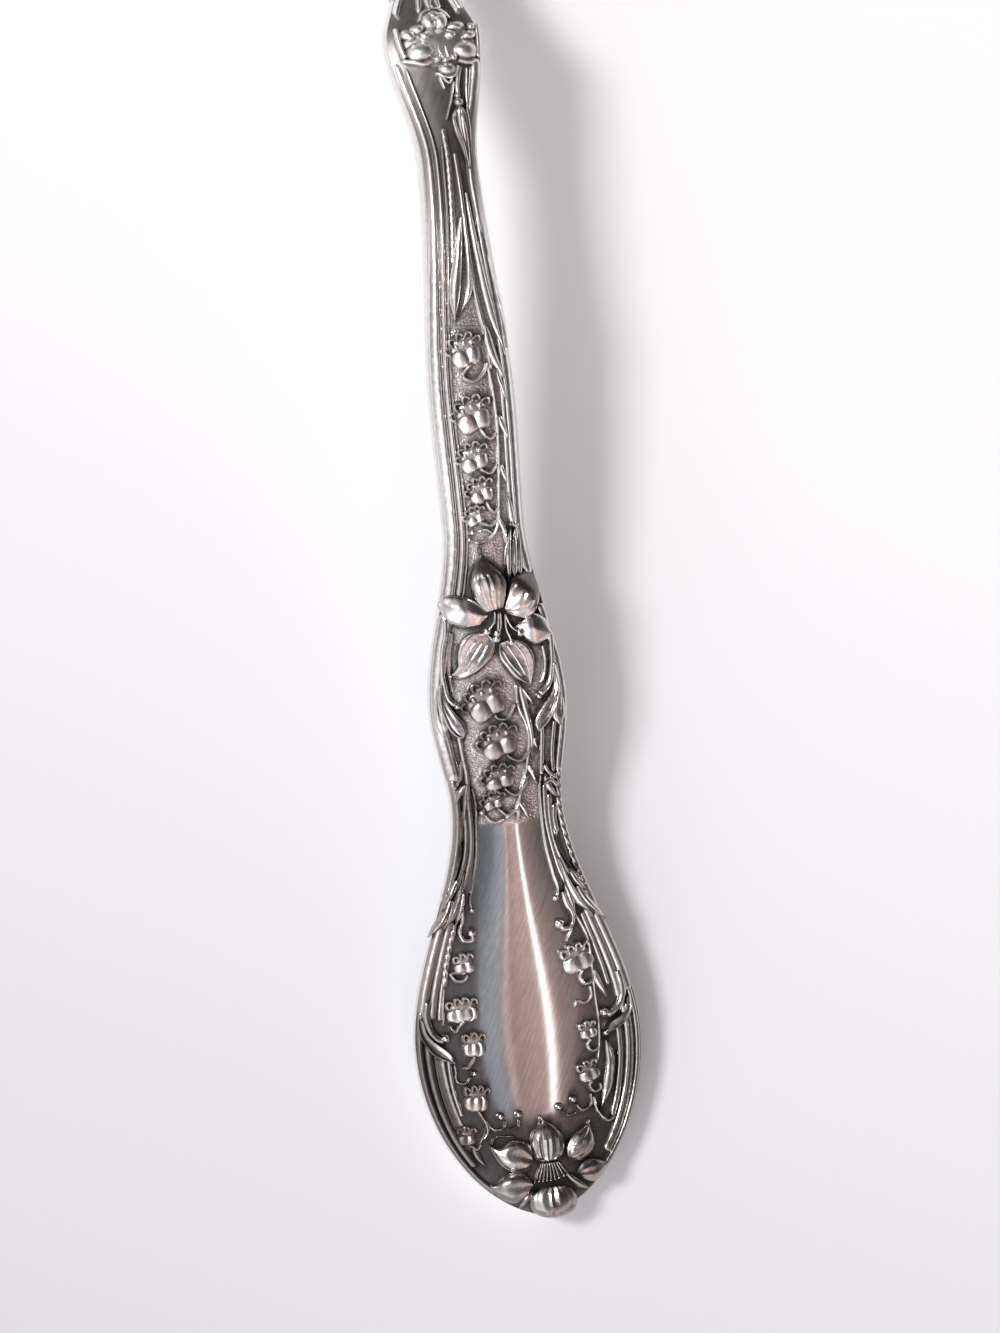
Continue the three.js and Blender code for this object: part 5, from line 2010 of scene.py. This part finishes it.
@dataclass(frozen=True)
class PhotoCamera:
    """A camera almost straight over the handle, a little to its left."""

    aim: tuple[float, float, float] = (0.963, -50.083, 8.0)
    distance: float = 900.0
    lean: float = 9.0
    roll: float = 6.433
    picture_height: float = 159.605
    sensor: float = 36.0

    def build(self) -> None:
        """Places the camera and makes it the scene's."""
        data = bpy.data.cameras.new("photo_camera")
        camera = bpy.data.objects.new("photo_camera", data)
        bpy.context.collection.objects.link(camera)
        lean, roll = math.radians(self.lean), math.radians(self.roll)
        back = Vector((-math.sin(lean), 0, math.cos(lean)))
        flat_right = Vector((math.cos(lean), 0, math.sin(lean)))
        flat_up = Vector((0, 1, 0))
        right = flat_right * math.cos(roll) - flat_up * math.sin(roll)
        up = flat_right * math.sin(roll) + flat_up * math.cos(roll)
        turn = Matrix((right, up, back)).transposed()
        place = (Vector(self.aim) + back * self.distance) * MM
        camera.matrix_world = Matrix.Translation(place) @ turn.to_4x4()
        data.sensor_fit = "VERTICAL"
        data.sensor_height = self.sensor
        data.lens = self.sensor * self.distance / self.picture_height
        data.clip_start = 0.01
        bpy.context.scene.camera = camera


class ServingFork:
    """The whole fork: head, handle and relief, each piece standing for its CAD node."""

    # How dark the plain shield is, and the ground round it, and the handle's sides and back.
    SHIELD = 0.12
    ROUND_SHIELD = 0.45
    BACK = 0.05
    # The station where the shield ends and the matted grounds begin.
    SHIELD_END = 46
    # How much the hollows darken on the relief and on the ground: patina and painted shade.
    RELIEF_HOLLOWS = 0.75
    GROUND_HOLLOWS = 1.0
    # How soft the mirror is on the bells and the lilies.
    SATINS = {"bell": 0.6, "lily": 0.15}
    # How much darker the bells are than the relief round them.
    FILMS = {"upper_bell": 0.08, "lower_bell": 0.12, "left_bell": 0.03, "right_bell": 0.01}
    # How far each group of flowers is moved along and across the handle, for the lean of the view.
    MOVES = {
        "knuckle_lily": (-0.1, 0.4),
        "upper": (0.05, -0.25),
        "middle_lily": (0.3, -0.15),
        "lower": (0.4, -0.1),
        "left_bell": (-0.05, 0.1),
        "right_bell": (-0.15, 0.2),
        "tip_lily": (-0.25, 0.05),
    }

    def __init__(self) -> None:
        """Sets the form and the finishes."""
        self.form = ForkForm()
        self.shaping = Shaping(self.form)
        self.map = ReliefMap(self.form)
        # Buffed by hand: mirror bright, with hairline scratches from use.
        polished = Sterling("buffed sterling silver", rough=0.09, scratch=0.25)
        # Struck and matted ground: bright on the plain shield, pitted between the flowers, and dark there
        # with patina and painted shade.
        struck = Sterling("struck and matted sterling silver", rough=0.07, scratch=0.28, stipple=0.36)
        # Cast and chased relief: rubbed bright on top, a little uneven, and dark in the folds with oxide and
        # painted shade.
        cast = Sterling("cast and oxidised sterling silver", rough=0.17, scratch=0.2, chased=0.3)
        self.polished, self.struck, self.cast = (finish.material() for finish in (polished, struck, cast))
        self.relief: dict[str, Piece] = {}

    def straps(self) -> dict[str, list[Strap]]:
        """Every relief node's straps.

        Returns:
            Each node's straps.
        """
        found = {lily.name: lily.straps() for lily in Flowers().all()}
        found.update({bell.name: bell.straps() for bell in Sprays().all()})
        found.update(Stalks.PIECES)
        for node, straps in found.items():
            move = by_start(self.MOVES, node, (0.0, 0.0))
            found[node] = [moved(strap, *move) for strap in straps]
        for side in Side:
            found.update(Borders(self.form, side).pieces())
        return found

    def build(self) -> None:
        """Builds and dresses every piece."""
        for node, straps in self.straps().items():
            piece = self.shaping.build(f"{node}_silver", straps)
            self.relief[node] = piece
            self.map.add(piece)
        self.map.settle()
        for node, piece in self.relief.items():
            self.dress(piece, self.cast, Slot.CAST, node)
        self.dress_handle(HandleBody(self.form).build())
        self.build_head()

    def build_head(self) -> None:
        """Builds the head and joins the reeds of its neck to it."""
        head = ForkHead(self.form)
        reeds = self.shaping.build("neck_reeds", head.neck_reeds())
        piece = head.build()
        bpy.ops.object.select_all(action="DESELECT")
        reeds.select_set(True)
        piece.select_set(True)
        bpy.context.view_layer.objects.active = piece
        bpy.ops.object.join()
        self.dress(piece, self.polished, Slot.POLISHED, "fork_head")

    def dress(self, piece: Piece, material: bpy.types.Material, slot: Slot, node: str) -> None:
        """Gives a piece its patina and painted shade and its material, and puts it in its CAD node's place.

        Args:
            piece: The piece.
            material: Its material.
            slot: Its material slot.
            node: The CAD node that it stands for.
        """
        points = coordinates(piece)
        s = self.form.station(points[:, 1])
        tarnish = self.map.tarnish(points, self.RELIEF_HOLLOWS) + by_start(self.FILMS, node, 0.0)
        # The middle lily's upper petals get a painted dark reflection on their tops.
        if node == "middle_lily":
            tarnish = tarnish + self.shaded_petal_tops(s, points[:, 0])
        paint(piece, "tarnish", np.clip(tarnish, 0, 1))
        soft = next((satin for word, satin in self.SATINS.items() if word in node), 0.0)
        paint(piece, "satin", np.maximum(self.throat_satin(s), soft))
        self.settle(piece, material, slot, node)

    @staticmethod
    def shaded_petal_tops(s: np.ndarray, u: np.ndarray) -> np.ndarray:
        """A painted dark reflection: how much darker the tops of the middle lily's upper petals are."""
        return 0.5 * smooth_step(-0.5, 0.9, s - 75.4 + 0.33 * (u + 0.5)) * (1 - smooth_step(5.4, 6.2, u))

    @staticmethod
    def throat_satin(s: np.ndarray) -> np.ndarray:
        """How soft the silver's mirror is at a station: worn satin from the throat to the knuckle."""
        return ease([110, 124, 147, 152], [0.0, 0.8, 0.8, 0.0])(s)

    def dress_handle(self, piece: Piece) -> None:
        """Gives the handle its patina, painted shade and matted grounds, and swells the ground under the
        relief.

        Args:
            piece: The piece.
        """
        points = coordinates(piece)
        s = self.form.station(points[:, 1])
        on_face = self.map.over_ground(points) > -0.05
        past_shield = s > self.SHIELD_END
        rim = self.round_shield(s, points[:, 0])
        # Round the throat the ground is darker: a painted dark reflection of the dim room past the head.
        ground = ease([44, 48, 66, 74, 84, 112, 124, 134, 139], [0, 0, 0, 0.02, 0, 0.06, 0.5, 0.56, 0.2])(s)
        near_shield = np.maximum(self.SHIELD, self.ROUND_SHIELD * rim)
        ground = np.where(past_shield, ground, near_shield)
        # Beside the relief the ground darkens with patina and painted shade.
        relief = self.map.tarnish(points, self.GROUND_HOLLOWS) * np.where(past_shield, 1, 0.3 + 0.7 * rim)
        tarnish = np.where(on_face, relief * (1 - ground) + ground, self.BACK)
        paint(piece, "tarnish", np.clip(tarnish, 0, 1))
        paint(piece, "stipple", self.matted(s) * on_face)
        paint(piece, "satin", self.throat_satin(s))
        inside = smooth_step(0, 0.7, self.form.face_half(s) - np.abs(points[:, 0]))
        points[:, 2] += on_face * inside * self.map.swelling(points)
        piece.data.vertices.foreach_set("co", (points * MM).ravel())
        piece.data.update()
        self.settle(piece, self.struck, Slot.POLISHED, "handle_body")

    @staticmethod
    def matted(s: np.ndarray) -> np.ndarray:
        """How matted the ground is under the two sprays.

        Args:
            s: Stations.

        Returns:
            Shares from 0 to 1.
        """
        stem = smooth_step(76, 79, s) * (1 - smooth_step(118, 124, s))
        lower = smooth_step(46.8, 48.0, s) * (1 - smooth_step(70, 73, s))
        return np.maximum(stem, lower)

    @staticmethod
    def round_shield(s: np.ndarray, u: np.ndarray) -> np.ndarray:
        """How far a place is past the plain shield's outline, from 0 to 1.

        Args:
            s: Stations.
            u: Offsets.

        Returns:
            Shares from 0 to 1.
        """
        left = ease([10, 12.2, 15.4, 20, 26.6, 33, 42], [-3.0, -4.4, -5.2, -5.7, -5.5, -4.9, -4.3])(s)
        right = ease([10, 13.8, 16.7, 21.5, 25.4, 28.5, 34.6, 41],
                     [1.5, 3.4, 5.0, 5.8, 6.4, 6.6, 5.3, 4.5])(s)
        border = smooth_step(-0.5, 1.0, np.maximum(left - u, u - right)) * (1 - smooth_step(37, 43, s))
        return np.maximum(border, 1 - smooth_step(10.8, 12.8, s))

    @staticmethod
    def settle(piece: Piece, material: bpy.types.Material, slot: Slot, node: str) -> None:
        """Puts a finished piece in the frame.

        Args:
            piece: The piece.
            material: Its material.
            slot: Not used.
            node: The CAD node that it stands for.
        """
        piece.data.materials.clear()
        piece.data.materials.append(material)
        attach(piece, BODY)
        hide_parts(node)
        LOG.info("%s stands for %s, %d faces", piece.name, node, len(piece.data.polygons))


def main() -> None:
    """Builds the fork, the table, the light and the camera."""
    logging.basicConfig(level=logging.INFO, format="%(message)s")
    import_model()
    bpy.context.scene.view_settings.view_transform = "Standard"
    PhotoCamera().build()
    ServingFork().build()
    Table().build()
    Studio().build()


if __name__ == "__main__":
    main()
